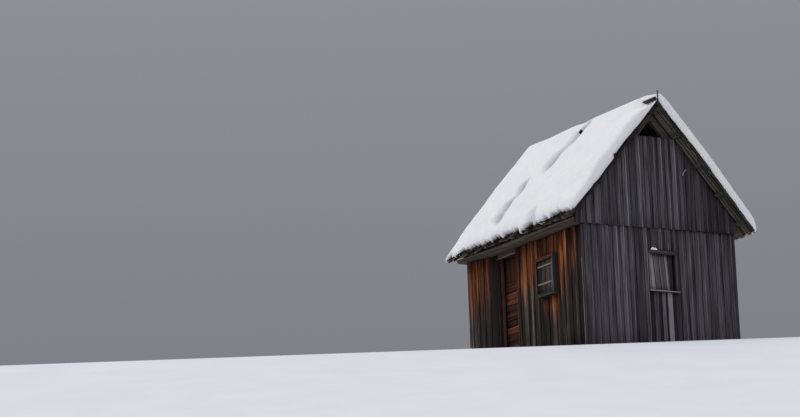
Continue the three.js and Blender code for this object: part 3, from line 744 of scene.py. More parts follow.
def build_back_wall():
    """The hidden gable repeats the boards of the front one, without a window."""
    low, high = corners("boards_back")
    beam_low, beam_high = corners("eave_beam_left")
    room = corners("tie_beam_back")[1][0]

    def shoulder(place):
        return np.where(np.abs(place) > room, beam_low[2] + beam_lift(low[1]) - BOARD_GAP, high[2])

    origin = np.array([0.0, low[1], 0.0])
    lower = upright_boards(origin, X_AXIS, Y_AXIS, low[0], high[0], level_line(low[2]), shoulder, 21)
    build("wall_boards_back", [lower], BACK_WOOD, ["boards_back"])
    low, high = corners("boards_back_gable")
    origin = np.array([0.0, low[1], 0.0])

    def foot(place):
        return np.where(np.abs(place) > room, beam_high[2] + BOARD_GAP, low[2])

    upper = upright_boards(origin, X_AXIS, Y_AXIS, low[0], high[0], foot, gable_line(high[2]), 22)
    build("wall_boards_back_gable", [upper], BACK_WOOD, ["boards_back_gable"])


WIDE_BOARD = 0.215


def build_side_walls():
    """The door wall with its window, and the plain wall opposite."""
    low, high = corners("boards_left_front")
    window_low, window_high = corners("side_window_frame")
    origin = np.array([low[0] + BOARD, 0.0, 0.0])
    ways = (origin, Y_AXIS, -X_AXIS)
    foot = level_line(low[2])
    beam_under = high[2]

    def top(place):
        return beam_under + beam_lift(place)

    under = level_line(window_low[2] - BOARD_GAP)
    over = level_line(window_high[2] + BOARD_GAP)
    stretches = (
        (low[1], window_low[1] - BOARD_GAP, foot, top, 31),
        (window_high[1] + BOARD_GAP, high[1], foot, top, 32),
        (window_low[1], window_high[1], foot, under, 33),
        (window_low[1], window_high[1], over, top, 33),
    )
    parts = [upright_boards(*ways, *stretch, pitch=SIDE_PITCH) for stretch in stretches]
    build("wall_boards_left_front", parts, SUNBURNT, ["boards_left_front"])
    low, high = corners("boards_left_back")
    wide = low[1] + WIDE_BOARD
    rear = upright_boards(*ways, wide + BOARD_GAP, high[1], foot, top, 34, pitch=SIDE_PITCH)
    build("wall_boards_left_back", [rear], SUNBURNT, ["boards_left_back"])
    board = bar([low[0] + TOUCH, low[1], low[2]], [high[0], wide, high[2]], "Z", -X_AXIS, 36, 0.206,
                stations=9)
    build("wall_board_beside_door", [board], SHUTTER_WOOD, ["boards_left_back"])
    low, high = corners("boards_right")
    origin = np.array([low[0], 0.0, 0.0])
    right = upright_boards(origin, Y_AXIS, X_AXIS, low[1], high[1], foot, top, 35, pitch=SIDE_PITCH)
    build("wall_boards_right", [right], BACK_WOOD, ["boards_right"])


# Beams, window frames and the door


def bar(low, high, along, out_way, seed, tone=None, drift=0.0015, ease=0.004, stations=5):
    """A squared bar that fills the box from low to high, along the named axis, its face towards out_way."""
    low, high = np.array(low, float), np.array(high, float)
    axis = "XYZ".index(along)
    out_axis = int(np.argmax(np.abs(out_way)))
    side_axis = 3 - axis - out_axis
    centre = (low + high) / 2
    back = low if out_way[out_axis] > 0 else high
    start, end = centre.copy(), centre.copy()
    start[axis], end[axis] = low[axis], high[axis]
    start[out_axis] = end[out_axis] = back[out_axis]
    across_way = np.eye(3)[side_axis]
    size = high - low
    margin = 2 * drift
    return planks(start, end, across_way, np.array(out_way, float), size[side_axis] - margin,
                  size[out_axis], seed, stations, drift, tone, ease)


def beam_lift(y):
    """How far the underside of an eave beam has risen at y, for a log that gets thinner towards the rear.

    It is one smooth step from where the taper starts to the rear end."""
    return BEAM_TAPER * smooth(y, BEAM_TAPER_START, corners("eave_beam_left")[1][1])


def build_beams():
    """Eave beams with hewn faces, thinner towards the rear, whose lower half is drawn in towards the hut."""
    front = corners("boards_front")[1][1] + TOUCH
    for side, out_way in (("left", -X_AXIS), ("right", X_AXIS)):
        low, high = corners(f"eave_beam_{side}")
        beam = bar([low[0], front, low[2]], high, "Y", out_way, 41, drift=0.005, ease=0.016, stations=14)
        points = beam["points"]
        share = (high[2] - points[..., 2]) / (high[2] - low[2])
        points[..., 2] += beam_lift(points[..., 1]) * share
        points[..., 0] -= out_way[0] * BEAM_DRAWN_IN * np.maximum(share - 0.5, 0) * 2
        build(f"eave_beam_hewn_{side}", [beam], HEWN, [f"eave_beam_{side}"])


def finish_inner_timber():
    """Gives every node of the frame a material, for the timber and hinges that keep their plain shape."""
    crosswise = ("tie_beam_front", "tie_beam_back", "wall_rail_front", "wall_rail_back", "ground_beam_front",
                 "ground_beam_back", "floor_planks", "gable_rail_front", "gable_rail_back", "rafter_pair_1",
                 "rafter_pair_2", "rafter_pair_3", "rafter_pair_4")
    for name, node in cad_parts.items():
        if name.startswith("hinge"):
            material = IRON
        elif name in ("door_lintel", "door_threshold"):
            material = LINTEL_WOOD
        elif name in crosswise:
            material = INSIDE_X
        elif "post" in name or name == "ridge_stick":
            material = INSIDE
        else:
            material = INSIDE_Y
        node.data.materials.clear()
        node.data.materials.append(material)


WINDOW_PROUD = 0.020
WINDOW_JAMB = 0.050
WINDOW_HEAD = 0.080
WINDOW_SILL = 0.025
SHUTTER_BOARD = 0.022
SHUTTER_GAP = 0.007
SHUTTER_LEAN = 0.024
SHUTTER_SHARES = np.array([0.0, 0.22, 0.52, 0.85, 1.0])
SHUTTER_TONES = np.array([0.74, 0.52, 0.48, 0.62])
DARK_BOARD_SHOWS = 0.095
DARK_BOARD_LAP = 0.050
DARK_BOARD = 0.020
WINDOW_SNOW_X = -0.150
WINDOW_SNOW = (0.080, 0.012, 0.055)
WINDOW_SNOW_NOTCH = (0.15, 0.30, 0.22)


def build_front_window():
    """A plain frame with a sill, and boards nailed inside it: leaning ones, and a dark one behind them."""
    low, high = corners("front_window_frame")
    boards_low, boards_high = corners("front_window_boards")
    wall = corners("boards_front")[0][1]
    face = wall - WINDOW_PROUD
    left, right = low[0] + SILL_LAP, high[0] - SILL_LAP
    back, top = high[1], high[2]
    under_head, sill_top = top - WINDOW_HEAD, low[2] + WINDOW_SILL
    parts = [
        bar([left, face, sill_top], [left + WINDOW_JAMB, back, under_head], "Z", -Y_AXIS, 51, 0.54),
        bar([right - WINDOW_JAMB, face, sill_top], [right, back, under_head], "Z", -Y_AXIS, 52, 0.44),
        bar([left, face, under_head], [right, back, top], "X", -Y_AXIS, 53, 0.382),
        bar(low, [high[0], wall, sill_top], "X", -Y_AXIS, 54, 0.735),
        bar([left, wall, low[2]], [right, back, sill_top], "X", -Y_AXIS, 55, 0.5),
    ]
    build("front_window_bars", parts, WINDOW_WOOD, ["front_window_frame"])
    dark_from = boards_high[0] - DARK_BOARD_SHOWS
    first, last = boards_low[0] + SHUTTER_LEAN, dark_from - SHUTTER_LEAN
    edges = first + (last - first) * SHUTTER_SHARES
    centres = (edges[:-1] + edges[1:]) / 2
    start = np.array([[x + SHUTTER_LEAN, boards_high[1], boards_low[2]] for x in centres])
    end = np.array([[x - SHUTTER_LEAN, boards_high[1], boards_high[2]] for x in centres])
    boards = planks(start, end, -X_AXIS, -Y_AXIS, np.diff(edges) - SHUTTER_GAP, SHUTTER_BOARD, 57, 5, 0.0012,
                    SHUTTER_TONES)
    # The board behind gets a low tone: painted shade for a board that stays unlit behind the leaning ones.
    dark = bar([dark_from - DARK_BOARD_LAP, boards_high[1] - DARK_BOARD / 2, boards_low[2]],
               [boards_high[0], boards_high[1] + DARK_BOARD / 2, boards_high[2]], "Z", -Y_AXIS, 58, 0.33)
    build("front_window_shutter", [boards, dark], WINDOW_WOOD, ["front_window_boards"])
    build_window_snow(top, face)


def build_window_snow(top, face):
    """A little snow on the window's head: half an egg, (cos a cos b, sin a cos b, sin b), with two humps."""
    around, up = np.meshgrid(np.linspace(0, 2 * np.pi, 33), np.linspace(0, np.pi / 2, 9), indexing="ij")
    x = np.cos(around) * np.cos(up)
    humps = 1 - bumps(x, WINDOW_SNOW_NOTCH)
    points = np.stack([WINDOW_SNOW_X + WINDOW_SNOW[0] * x,
                       face + WINDOW_SNOW[1] + WINDOW_SNOW[1] * np.sin(around) * np.cos(up),
                       top + TOUCH + WINDOW_SNOW[2] * np.sin(up) * humps], axis=-1).reshape(-1, 3)
    made = sheet_object("window_snow", points, sheet_faces(*around.shape))
    finish_piece(made, SNOW, (), "hut")


SIDE_WINDOW_RAIL = 0.070
SIDE_WINDOW_WALL = 0.030
SIDE_WINDOW_PITCH = 0.14
SIDE_WINDOW_BOARD = 0.016
SIDE_WINDOW_GAP = 0.004
LEDGE_FEET = (1.480, 1.840)
LEDGE_HEIGHT = 0.044
LEDGE_OUT = 0.008
LEDGE_INSETS = (0.02, 0.01)


def build_side_window():
    """A box frame that stands out from the boards, closed by rain-black boards under two pale ledges."""
    low, high = corners("side_window_frame")
    panel_low, panel_high = corners("side_window_panel")
    inner_low, inner_high = low[1] + SIDE_WINDOW_WALL, high[1] - SIDE_WINDOW_WALL
    under_head, sill_top = high[2] - SIDE_WINDOW_RAIL, low[2] + SIDE_WINDOW_RAIL
    head = bar([low[0], inner_low, under_head], [high[0], inner_high, high[2]], "Y", -X_AXIS, 63, 0.559)
    build("side_window_head", [head], DOOR_WOOD, ["side_window_frame"])
    parts = [
        bar(low, [high[0], inner_low, high[2]], "Z", -X_AXIS, 61, 0.60),
        bar([low[0], inner_high, low[2]], high, "Z", -X_AXIS, 62, 0.500),
        bar([low[0], inner_low, low[2]], [high[0], inner_high, sill_top], "Y", -X_AXIS, 64, 0.52),
    ]
    build("side_window_box", parts, SHUTTER_WOOD, ["side_window_frame"])
    edges = fill(inner_low, inner_high, SIDE_WINDOW_PITCH, 65)
    centres = (edges[:-1] + edges[1:]) / 2
    start, end = (np.array([[panel_high[0], y, z] for y in centres]) for z in (panel_low[2], panel_high[2]))
    tones = np.linspace(0.55, 0.44, len(centres))
    widths = np.diff(edges) - SIDE_WINDOW_GAP
    parts = [planks(start, end, Y_AXIS, -X_AXIS, widths, SIDE_WINDOW_BOARD, 66, 5, 0.0012, tones)]
    for number, z in enumerate(LEDGE_FEET):
        ledge_low = [panel_low[0] - LEDGE_OUT, inner_low + LEDGE_INSETS[0], z]
        ledge_high = [panel_high[0] - SIDE_WINDOW_BOARD, inner_high - LEDGE_INSETS[1], z + LEDGE_HEIGHT]
        parts.append(bar(ledge_low, ledge_high, "Y", -X_AXIS, 67 + number, 0.735, drift=0.004))
    build("side_window_shutter", parts, SHUTTER_WOOD, ["side_window_panel"])


DOOR_JOINTS = (0.486, 0.62, 0.775, 0.93, 1.06, 1.26, 1.38, 1.50, 1.65, 1.815)
DOOR_GAP = 0.003
DOOR_PLANK_IN = 0.004
DOOR_PANEL_IN = 0.012
DOOR_PANEL_PITCH = 0.16
DOOR_PANEL_FOOT = 0.03
DOOR_LEDGE_HEIGHT = 0.032
INNER_LEDGE_FEET = (0.760, 1.860)
INNER_LEDGE = (0.028, 0.11)
INNER_LEDGE_INSET = 0.07


def build_door():
    """The leaf: an upper panel of upright planks over a ledge, and level planks with rounded edges below."""
    low, high = corners("door_leaf")
    face = low[0]
    back = corners("door_post_front")[1][0]
    ledge = DOOR_JOINTS[-1]
    parts = []
    for number, (foot, head) in enumerate(zip(DOOR_JOINTS[:-1], DOOR_JOINTS[1:])):
        parts.append(bar([face + DOOR_PLANK_IN, low[1], foot + DOOR_GAP], [back, high[1], head], "Y", -X_AXIS,
                         70 + number, drift=0.002, ease=0.009))
    edges = fill(low[1], high[1], DOOR_PANEL_PITCH, 80)
    for number, (left, right) in enumerate(zip(edges[:-1], edges[1:])):
        parts.append(bar([face + DOOR_PANEL_IN, left + BOARD_GAP, ledge + DOOR_PANEL_FOOT],
                         [back, right - BOARD_GAP, high[2]], "Z", -X_AXIS, 81 + number, 0.30))
    parts.append(bar([face, low[1], ledge + DOOR_GAP], [back, high[1], ledge + DOOR_LEDGE_HEIGHT], "Y",
                     -X_AXIS, 88, 0.6))
    for number, foot in enumerate(INNER_LEDGE_FEET):
        parts.append(bar([back, low[1] + INNER_LEDGE_INSET, foot],
                         [back + INNER_LEDGE[0], high[1] - INNER_LEDGE_INSET, foot + INNER_LEDGE[1]], "Y",
                         X_AXIS, 90 + number, 0.5))
    build("door_leaf_planks", parts, DOOR_WOOD, ["door_leaf"], "door")


LINING_BOARD = 0.016
LINING_OUT = 0.015
LINING_DEPTH = 0.155
LINING_SHARE = 0.080
LINING_GAP = 0.008
JAMB_SLOT = 0.060
HEAD_STRIP = 0.024
CASING_OUT = 0.006
CASING_WIDTH = 0.030
CASING_TOP = 1.720


def build_door_frame():
    """Far jamb of a post and a lining board with a dark slot between, and two narrow lit strips.

    One strip runs along the lintel's edge, the other up the near jamb."""
    low, high = corners("door_post_back")
    wall = corners("boards_left_back")[0][0]
    near_post = corners("door_post_front")[1][1]
    lintel_foot = corners("door_lintel")[0][2]
    threshold_top = corners("door_threshold")[1][2]
    post = bar([low[0], low[1] + JAMB_SLOT, low[2]], high, "Z", -X_AXIS, 95)
    board_top = lintel_foot - TOUCH
    lining_end = wall - LINING_OUT + LINING_SHARE
    lining = bar([wall - LINING_OUT, low[1], threshold_top + TOUCH],
                 [lining_end, low[1] + LINING_BOARD, board_top], "Z", -Y_AXIS, 96)
    build("door_jamb_far", [post, lining], DARK_TIMBER, ["door_post_back"])
    stop = bar([lining_end + LINING_GAP, low[1], threshold_top + TOUCH],
               [wall + LINING_DEPTH, low[1] + LINING_BOARD, board_top], "Z", -Y_AXIS, 99)
    build("door_stop_board", [stop], JAMB_WOOD, ())
    strip = bar([wall - CASING_OUT, near_post, lintel_foot - HEAD_STRIP],
                [wall + LINING_OUT, low[1] + JAMB_SLOT, board_top], "Y", -X_AXIS, 97, 0.559)
    build("door_head_strip", [strip], WINDOW_WOOD, ())
    casing = bar([wall - CASING_OUT, near_post - CASING_WIDTH, threshold_top],
                 [wall - TOUCH, near_post, CASING_TOP], "Z", -X_AXIS, 98, 0.90)
    build("door_jamb_strip", [casing], DOOR_WOOD, ())


# Roof


def on_slope(down, out, side):
    """X and Z of a point down the slope from the ridge and out from the top line of the shakes.

    With the pitch p they are down cos p + out sin p and ridge - down sin p + out cos p."""
    x = down * math.cos(PITCH) + out * math.sin(PITCH)
    z = RIDGE - down * math.sin(PITCH) + out * math.cos(PITCH)
    return side * x, z


def slope_points(down, out, y, side):
    """Points on a slope, each with its X, Y and Z."""
    x, z = on_slope(down, out, side)
    return np.stack(np.broadcast_arrays(x, y, z), axis=-1)


def raised_shake(down_way, out_way):
    """A dark shake that has come loose under the ridge. Its edge shows in the snow's upper hollow, near black
    as painted shade for the hole.
    """
    down, y = RAISED_SHAKE_AT
    start = slope_points(down, 0.0, y, -1)
    end = start + RAISED_SHAKE_RISE * out_way
    # Tone 0 makes the shake near black: painted shade for the hole.
    return planks(start, end, down_way, -Y_AXIS, RAISED_SHAKE_WIDTH, SHAKE, 399, 4, 0.002, [0.0], 0.003)


def verge_rise(side, down):
    """How far the front verge stands above the line of the shakes, which ride up towards a butt.

    On the left it falls back at the step, where the snow has a small hole above the end of a lath."""
    if side > 0:
        return steps(down, RIGHT_VERGE_RISE) + RIGHT_VERGE_WAVES * ripple(down, 0 * down, 0.22, 430)
    above, below = LEFT_VERGE_RISES
    rise = steps(down, above) * (down < LEFT_VERGE_STEP) + steps(down, below) * (down >= LEFT_VERGE_STEP)
    return rise + bumps(down, VERGE_HOLE) - VERGE_OVERHANG


VERGE_SHAKE_OUT = 0.006
VERGE_SHAKE_SECTION = (VERGE_SHAKE_WIDTH - 0.004, 0.003)
VERGE_SEAT = -0.003
VERGE_LIP = 0.006
LATH_END_SECTION = (0.056, 0.040)
LATH_END_HEIGHT = 0.060
LATH_END_SEAT = -0.010
# Of the eight points of a plank's section the first and last lie on its back and stay where they are.
LIFTED = np.array([0, 1, 1, 1, 1, 1, 1, 0])


def verge_shakes(side, front, out_way):
    """Long shakes on edge along the front verge, whose upper edges follow the rise, and a black lath end."""
    parts = []
    for number, (first, last) in enumerate(VERGE_LENGTHS[side]):
        middle = front + VERGE_SHAKE_WIDTH / 2
        start, end = slope_points(np.array([first, last]), VERGE_SEAT, middle, side)
        seed = 440 + 4 * number + side
        tone = [0.40 + 0.1 * number]
        shake = planks(start, end, Y_AXIS, out_way, *VERGE_SHAKE_SECTION, seed, 40, 0.0015, tone, 0.001)
        down = first + (last - first) * shake["traits"][..., 2]
        rise = np.maximum(verge_rise(side, down) + VERGE_LIP, 0) * LIFTED
        shake["points"] = shake["points"] + rise[..., None] * out_way
        parts.append(shake)
    if side < 0:
        # The lath end has tone 0, near black: painted shade for the small hole in the snow above it.
        start = slope_points(LEFT_VERGE_STEP, LATH_END_SEAT, front, side)
        end = start + LATH_END_HEIGHT * out_way
        across_way = np.cross(out_way, Y_AXIS)
        parts.append(planks(start, end, across_way, Y_AXIS, *LATH_END_SECTION, 450, 3, 0.001, [0.0], 0.004))
    return parts


CURLED_SHAKES = 32
CURLED_INSETS = (0.09, 0.02)
CURLED_LENGTH = 0.220
CURLED_WIDTH = (0.035, 0.090)
CURLED_RISE = (0.006, 0.070)
CURLED_LEAN = math.radians(24)


def curled_shakes(low, high, out_way):
    """Warped ends of the lowest shakes of the left slope: each rises to its butt and leans to one side."""
    rng = np.random.default_rng(140)
    low, high = low + CURLED_INSETS[0], high - CURLED_INSETS[1]
    step = (high - low) / CURLED_SHAKES
    y = low + step * (np.arange(CURLED_SHAKES) + rng.uniform(0.3, 0.7, CURLED_SHAKES))
    foot = SLOPE_LENGTH - rng.uniform(0.0, RAGGED_BUTT, CURLED_SHAKES)
    start = slope_points(foot - CURLED_LENGTH, -SHAKE, y, -1)
    end = slope_points(foot, rng.uniform(*CURLED_RISE, CURLED_SHAKES), y, -1)
    width = rng.uniform(*CURLED_WIDTH, CURLED_SHAKES)
    tone = rng.uniform(0, 0.8, CURLED_SHAKES)
    parts = []
    for lean, chosen in ((CURLED_LEAN, slice(0, None, 2)), (-CURLED_LEAN, slice(1, None, 2))):
        across_way = math.cos(lean) * Y_AXIS + math.sin(lean) * out_way
        face_way = math.cos(lean) * out_way - math.sin(lean) * Y_AXIS
        parts.append(planks(start[chosen], end[chosen], across_way, face_way, width[chosen], SHAKE, 141,
                            drift=0.003, tone=tone[chosen]))
    return parts


# The lowest course is more ragged than the others by this factor.
LAST_RAGGED = 1.6
# The left slope's uppermost shakes start this far down from the ridge, or up to the ragged length lower.
LEFT_HEAD = 0.02
HEAD_RAGGED = 0.012
SHAKE_GAPS = (0.002, 0.014)


def shake_layer(side, course, layer, low, high, out_way, rng):
    """One layer of a course of shakes, the lower layer or the upper one.

    A shake sinks by one double thickness for each course length up the slope, under the courses above it.
    Only the uppermost ones of the right slope stay level, and lap over the ridge."""
    front = low + TOUCH + VERGE_SHAKE_WIDTH * np.arange(VERGE_SHAKES + 1)
    rest = fill(front[-1], high - TOUCH, SHAKE_WIDTH, 110 + 10 * course + layer)
    edges = np.concatenate([front[:-1], rest])
    count = len(edges) - 1
    y = (edges[:-1] + edges[1:]) / 2
    butt = FIRST_BUTT + course * COURSE
    foot = butt + rng.uniform(-RAGGED_BUTT, 0.0, count) * (LAST_RAGGED if course == COURSES - 1 else 1.0)
    first = LEFT_HEAD if side < 0 else -RIDGE_LIP
    head = max(butt - SHAKE_LENGTH, first) + rng.uniform(0, HEAD_RAGGED, count)
    sink = 2 * SHAKE / COURSE
    level = -(2 - layer) * SHAKE
    head_sink = 0 if course == 0 and side > 0 else sink * (butt - head)
    start = slope_points(head, level - head_sink, y, side)
    end = slope_points(foot, level - sink * (butt - foot), y, side)
    width = np.diff(edges) - rng.uniform(*SHAKE_GAPS, count)
    tone = rng.uniform(0, 1, count)
    if layer == 0:
        width[:VERGE_SHAKES] -= VERGE_GAP
        tone[:VERGE_SHAKES] = VERGE_TONES
    seed = 200 + 20 * course + 2 * layer + side
    return planks(start, end, Y_AXIS, out_way, width, SHAKE - 0.001, seed, 5, 0.0022, tone)


# Back of a lath, measured out from the top line of the shakes, and the place of the uppermost one.
LATH_BACK = -0.120
LATH_FIRST = 0.1801
LATH_SECTION = (0.074, 0.058)
LATH_RAGGED = 0.015


def roof_lath(side, course, low, high, ways, rng):
    """The lath under one course of shakes, whose ends lie a little inside the verges."""
    down = max(FIRST_BUTT + course * COURSE - LATH_ABOVE_BUTT, LATH_FIRST)
    ends = rng.uniform(0.0, LATH_RAGGED, 2)
    start, end = slope_points(down, LATH_BACK, np.array([low + ends[0], high - ends[1]]), side)
    return planks(start, end, *ways, *LATH_SECTION, 300 + course, 16, 0.0015, [0.55], 0.008)


def build_shakes():
    """Five courses of split shakes a side, two layers deep, on laths."""
    for side, name in ((-1, "left"), (1, "right")):
        node = f"roof_shakes_{name}"
        low, high = (corner[1] for corner in corners(node))
        rng = np.random.default_rng(100 + side)
        down_way = np.array([side * math.cos(PITCH), 0.0, -math.sin(PITCH)])
        out_way = np.array([side * math.sin(PITCH), 0.0, math.cos(PITCH)])
        parts = []
        laths = []
        for course in range(COURSES):
            parts = parts + [shake_layer(side, course, layer, low, high, out_way, rng) for layer in (0, 1)]
            laths.append(roof_lath(side, course, low, high, (down_way, out_way), rng))
        parts = parts + verge_shakes(side, low - VERGE_SHAKE_OUT, out_way)
        if side < 0:
            parts = parts + [raised_shake(down_way, out_way)] + curled_shakes(low, high, out_way)
        build(f"split_shakes_{name}", parts, SHAKES, [node])
        build(f"roof_laths_{name}", laths, SHAKES, [node])


SNOW_ROWS = 390
SNOW_MIDDLE = 20
# For each slope: columns of points, reach of the rounding at the eave, and its power.
SNOW_SIDES = {-1: (70, 0.300, 2.0), 1: (34, 0.340, 2.1)}
SNOW_BASE = 0.002
SNOW_REACH = 2.349
SNOW_INSET = 0.004
SNOW_FRAY = 0.006
SNOW_TOP_LIMIT = cad_box[1][2] - 0.002
EAVE_SHARE = 0.10
VERGE_SHARE = 0.50
RIDGE_SHARE = 0.88
VERGE_SHELF = (0.070, 0.086)
VERGE_SHELF_SHARE = 0.6
VERGE_ROUNDING = 0.125
REAR_ROUNDING = 0.200
BARE_BLEND = (-2.08, -1.74)
BARE_START = 0.180
BARE_FULL = 0.600
FOLD = 0.4
# Stops of the sheet that folds back inside the ridge: down the slope, out from the shakes, and the side.
FOLD_STOPS = ((0.02, -0.012, -1), (0.0, -0.020, 1), (-0.05, -0.012, 1), (-RIDGE_LIP - 0.004, 0.003, 1))
CAP_LEAN = math.radians(20)
# A step is its height and the places where it starts and ends. A bump is its place, height and width.
FRONT_CREST = 0.105
CREST_STEPS = ((0.045, -2.40, -1.95), (-0.020, 0.6, 1.7), (0.010, 1.65, 2.05))
CREST_DIP = (0.200, -0.022, 0.20)
LEFT_DEPTH = 0.180
LEFT_STEPS = ((0.030, 0.3, 1.5), (-0.030, 2.2, 3.3))
REAR_THIN = (-0.045, 1.0, 2.2)
REAR_THIN_DOWN = (1.0, 0.3, 1.6)
RIGHT_CREST = 0.155
RIGHT_DEPTH = 0.235
RIGHT_STEPS = ((0.045, 0.3, 1.5), (-0.020, 1.9, 3.0))
LONG_WAVES = {-1: 0.013, 1: 0.010}
SHORT_WAVES = 0.004
TONGUE_WIDTH = 0.122
TONGUE = 0.120
TONGUE_MEAN = 0.060
LEFT_EAVE = 3.253
RIGHT_EAVE = 3.470
EAVE_BUMPS = ((-1.87, -0.075, 0.170), (-0.80, -0.120, 0.060), (1.71, -0.070, 0.110),
              (-1.24, 0.110, 0.130), (-0.60, 0.080, 0.130), (0.70, 0.070, 0.130))
EAVE_STEPS = ((0.060, 1.90, 2.10), (-0.075, 2.16, 2.28), (0.200, 2.29, 2.35))
HOLLOW_RIM = (-0.040, 0.045)
HOLLOW_WALL_AT = 0.30
HOLLOW_HEAD = 0.26
HOLLOW_FOOT = 0.36
HOLLOW_NARROWEST = 0.25
HOLLOW_WANDER = 0.025
# The melted hollows, each with its depth and its start and end down the slope, and their edges and widths.
UPPER_HOLLOW = (0.170, 0.04, 1.68)
UPPER_EDGE = -0.19
UPPER_EDGE_STEPS = ((0.14, 0.68, 0.92), (0.12, 1.38, 1.56))
UPPER_WIDTH = 0.52
LOWER_HOLLOW = (0.150, 1.55, 3.08)
LOWER_EDGE = 0.61
LOWER_EDGE_STEPS = ((-0.13, 1.72, 2.05), (1.0, 2.12, 2.30))
LOWER_WIDTH = 0.38
LOWER_WIDTH_STEP = (0.16, 2.10, 2.34)
EAVE_HOLLOW = (0.085, 2.80, 4.00)
EAVE_EDGE_AT = (-0.90, 3.04)
EAVE_EDGE_SLANT = 0.60
EAVE_WIDTH = 0.42


def rounded(distance, reach, power=2.4):
    """Height share of a rounded edge: a superellipse that rises from 0 at the edge to 1 at reach."""
    part_way = np.clip(distance / reach, 0, 1)
    return (1 - (1 - part_way) ** power) ** (1 / power)


def hollow(down, y, edge, width, shape):
    """Depth of a melted hollow: a steep drop at y = edge, a floor, and a soft rise that ends at the width.

    It deepens from its start down the slope, fades out before its end, and gets narrower towards both."""
    depth, start, end = shape
    length_share = smooth(down, start, start + HOLLOW_HEAD) * (1 - smooth(down, end - HOLLOW_FOOT, end))
    narrowed = width * (HOLLOW_NARROWEST + (1 - HOLLOW_NARROWEST) * length_share)
    narrowed = narrowed * (1 + 0.10 * ripple(down, 0 * down, 0.45, 432))
    past = y - edge
    far_wall = smooth(past, HOLLOW_WALL_AT * narrowed, narrowed)
    return depth * smooth(past, *HOLLOW_RIM) * (1 - far_wall) * length_share


def melted(down, y):
    """Depth of the left slope's melted hollows, added up: one below the ridge, one lower, one at the eave.

    The edges of the first two wander by a ripple and by smooth steps, and that of the last one is slanted."""
    wander = HOLLOW_WANDER * ripple(down, 0 * down, 0.40, 431)
    upper_edge = wander + UPPER_EDGE + steps(down, *UPPER_EDGE_STEPS)
    bend, straight = LOWER_EDGE_STEPS
    lower_edge = wander + LOWER_EDGE + steps(down, bend) * (1 - steps(down, straight))
    lower_width = LOWER_WIDTH + steps(down, LOWER_WIDTH_STEP)
    eave_edge = EAVE_EDGE_AT[0] - EAVE_EDGE_SLANT * (down - EAVE_EDGE_AT[1])
    return (hollow(down, y, upper_edge, UPPER_WIDTH, UPPER_HOLLOW)
            + hollow(down, y, lower_edge, lower_width, LOWER_HOLLOW)
            + hollow(down, y, eave_edge, EAVE_WIDTH, EAVE_HOLLOW))


def crest_depth(y):
    """Snow straight above the ridge: thinner at the front verge and past the middle, with one small dip.

    It is the depth at the front verge plus smooth steps and one bell curve."""
    return FRONT_CREST + steps(y, *CREST_STEPS) + bumps(y, CREST_DIP)


def snow_side(side, down, y):
    """Snow thickness above one slope before its edges are rounded, out from the shakes.

    It passes in a smooth step from the depth at the ridge to that of the slope, rises and falls in two
    ripples, and lacks the depth of the melted hollows."""
    if side < 0:
        body = LEFT_DEPTH + steps(down, *LEFT_STEPS) + steps(y, REAR_THIN) * steps(down, REAR_THIN_DOWN)
        deep = crest_depth(y) + (body - crest_depth(y)) * smooth(down, 0.0, 0.9)
    else:
        body = RIGHT_DEPTH + steps(down, *RIGHT_STEPS)
        deep = RIGHT_CREST + (body - RIGHT_CREST) * smooth(down, -0.05, 0.32)
    waves = LONG_WAVES[side] * ripple(down, y, 1.3, 400 + side)
    waves = waves + SHORT_WAVES * ripple(down, y, 0.32, 402 + side)
    deep = deep + waves * smooth(down, 0.0, 0.6)
    return deep - melted(down, y) if side < 0 else deep


def edge_share(down, y):
    """How much of its depth the snow keeps towards the verges: half at the edge, but most on the ridge.

    From that least share it rises to all of its depth by the curve of the rounded edge."""
    to_verge = np.minimum(rounded(y - y.min(), VERGE_ROUNDING, 2.2), rounded(y.max() - y, REAR_ROUNDING))
    least = RIDGE_SHARE + (VERGE_SHARE - RIDGE_SHARE) * smooth(down, 0.0, 0.6)
    return least + (1 - least) * to_verge


def eave_line(y, side):
    """Where the snow stops above the eave, and the same line with its tongues smoothed away.

    It is a level line plus ripples. On the left there are bumps and steps too, and short tongues between the
    shakes: lobes of |sin|, each with its own length."""
    flat = 0 * y
    if side > 0:
        plain = RIGHT_EAVE + 0.012 * ripple(y, flat, 0.5, 413)
        return plain, plain
    lobes = np.abs(np.sin(np.pi * y / TONGUE_WIDTH + 2.4 * ripple(y, flat, 0.45, 415))) ** 0.7
    long = np.clip(0.55 + 0.55 * ripple(y, flat, 0.24, 410), 0.15, 1)
    plain = LEFT_EAVE + 0.030 * ripple(y, flat, 0.45, 412) + bumps(y, *EAVE_BUMPS) + steps(y, *EAVE_STEPS)
    return plain + TONGUE * lobes * long, plain + TONGUE_MEAN


def through(stops, t):
    """Points at the shares t along a chain of stops, each a pair of X and Z arrays with one value a row."""
    legs = len(stops) - 1
    x, z = (np.zeros(np.broadcast(stops[0][0], t).shape) + stops[0][axis] for axis in (0, 1))
    for leg in range(legs):
        part_way = np.clip(t * legs - leg, 0, 1)
        x = x + (stops[leg + 1][0] - stops[leg][0]) * part_way
        z = z + (stops[leg + 1][1] - stops[leg][1]) * part_way
    return x, z


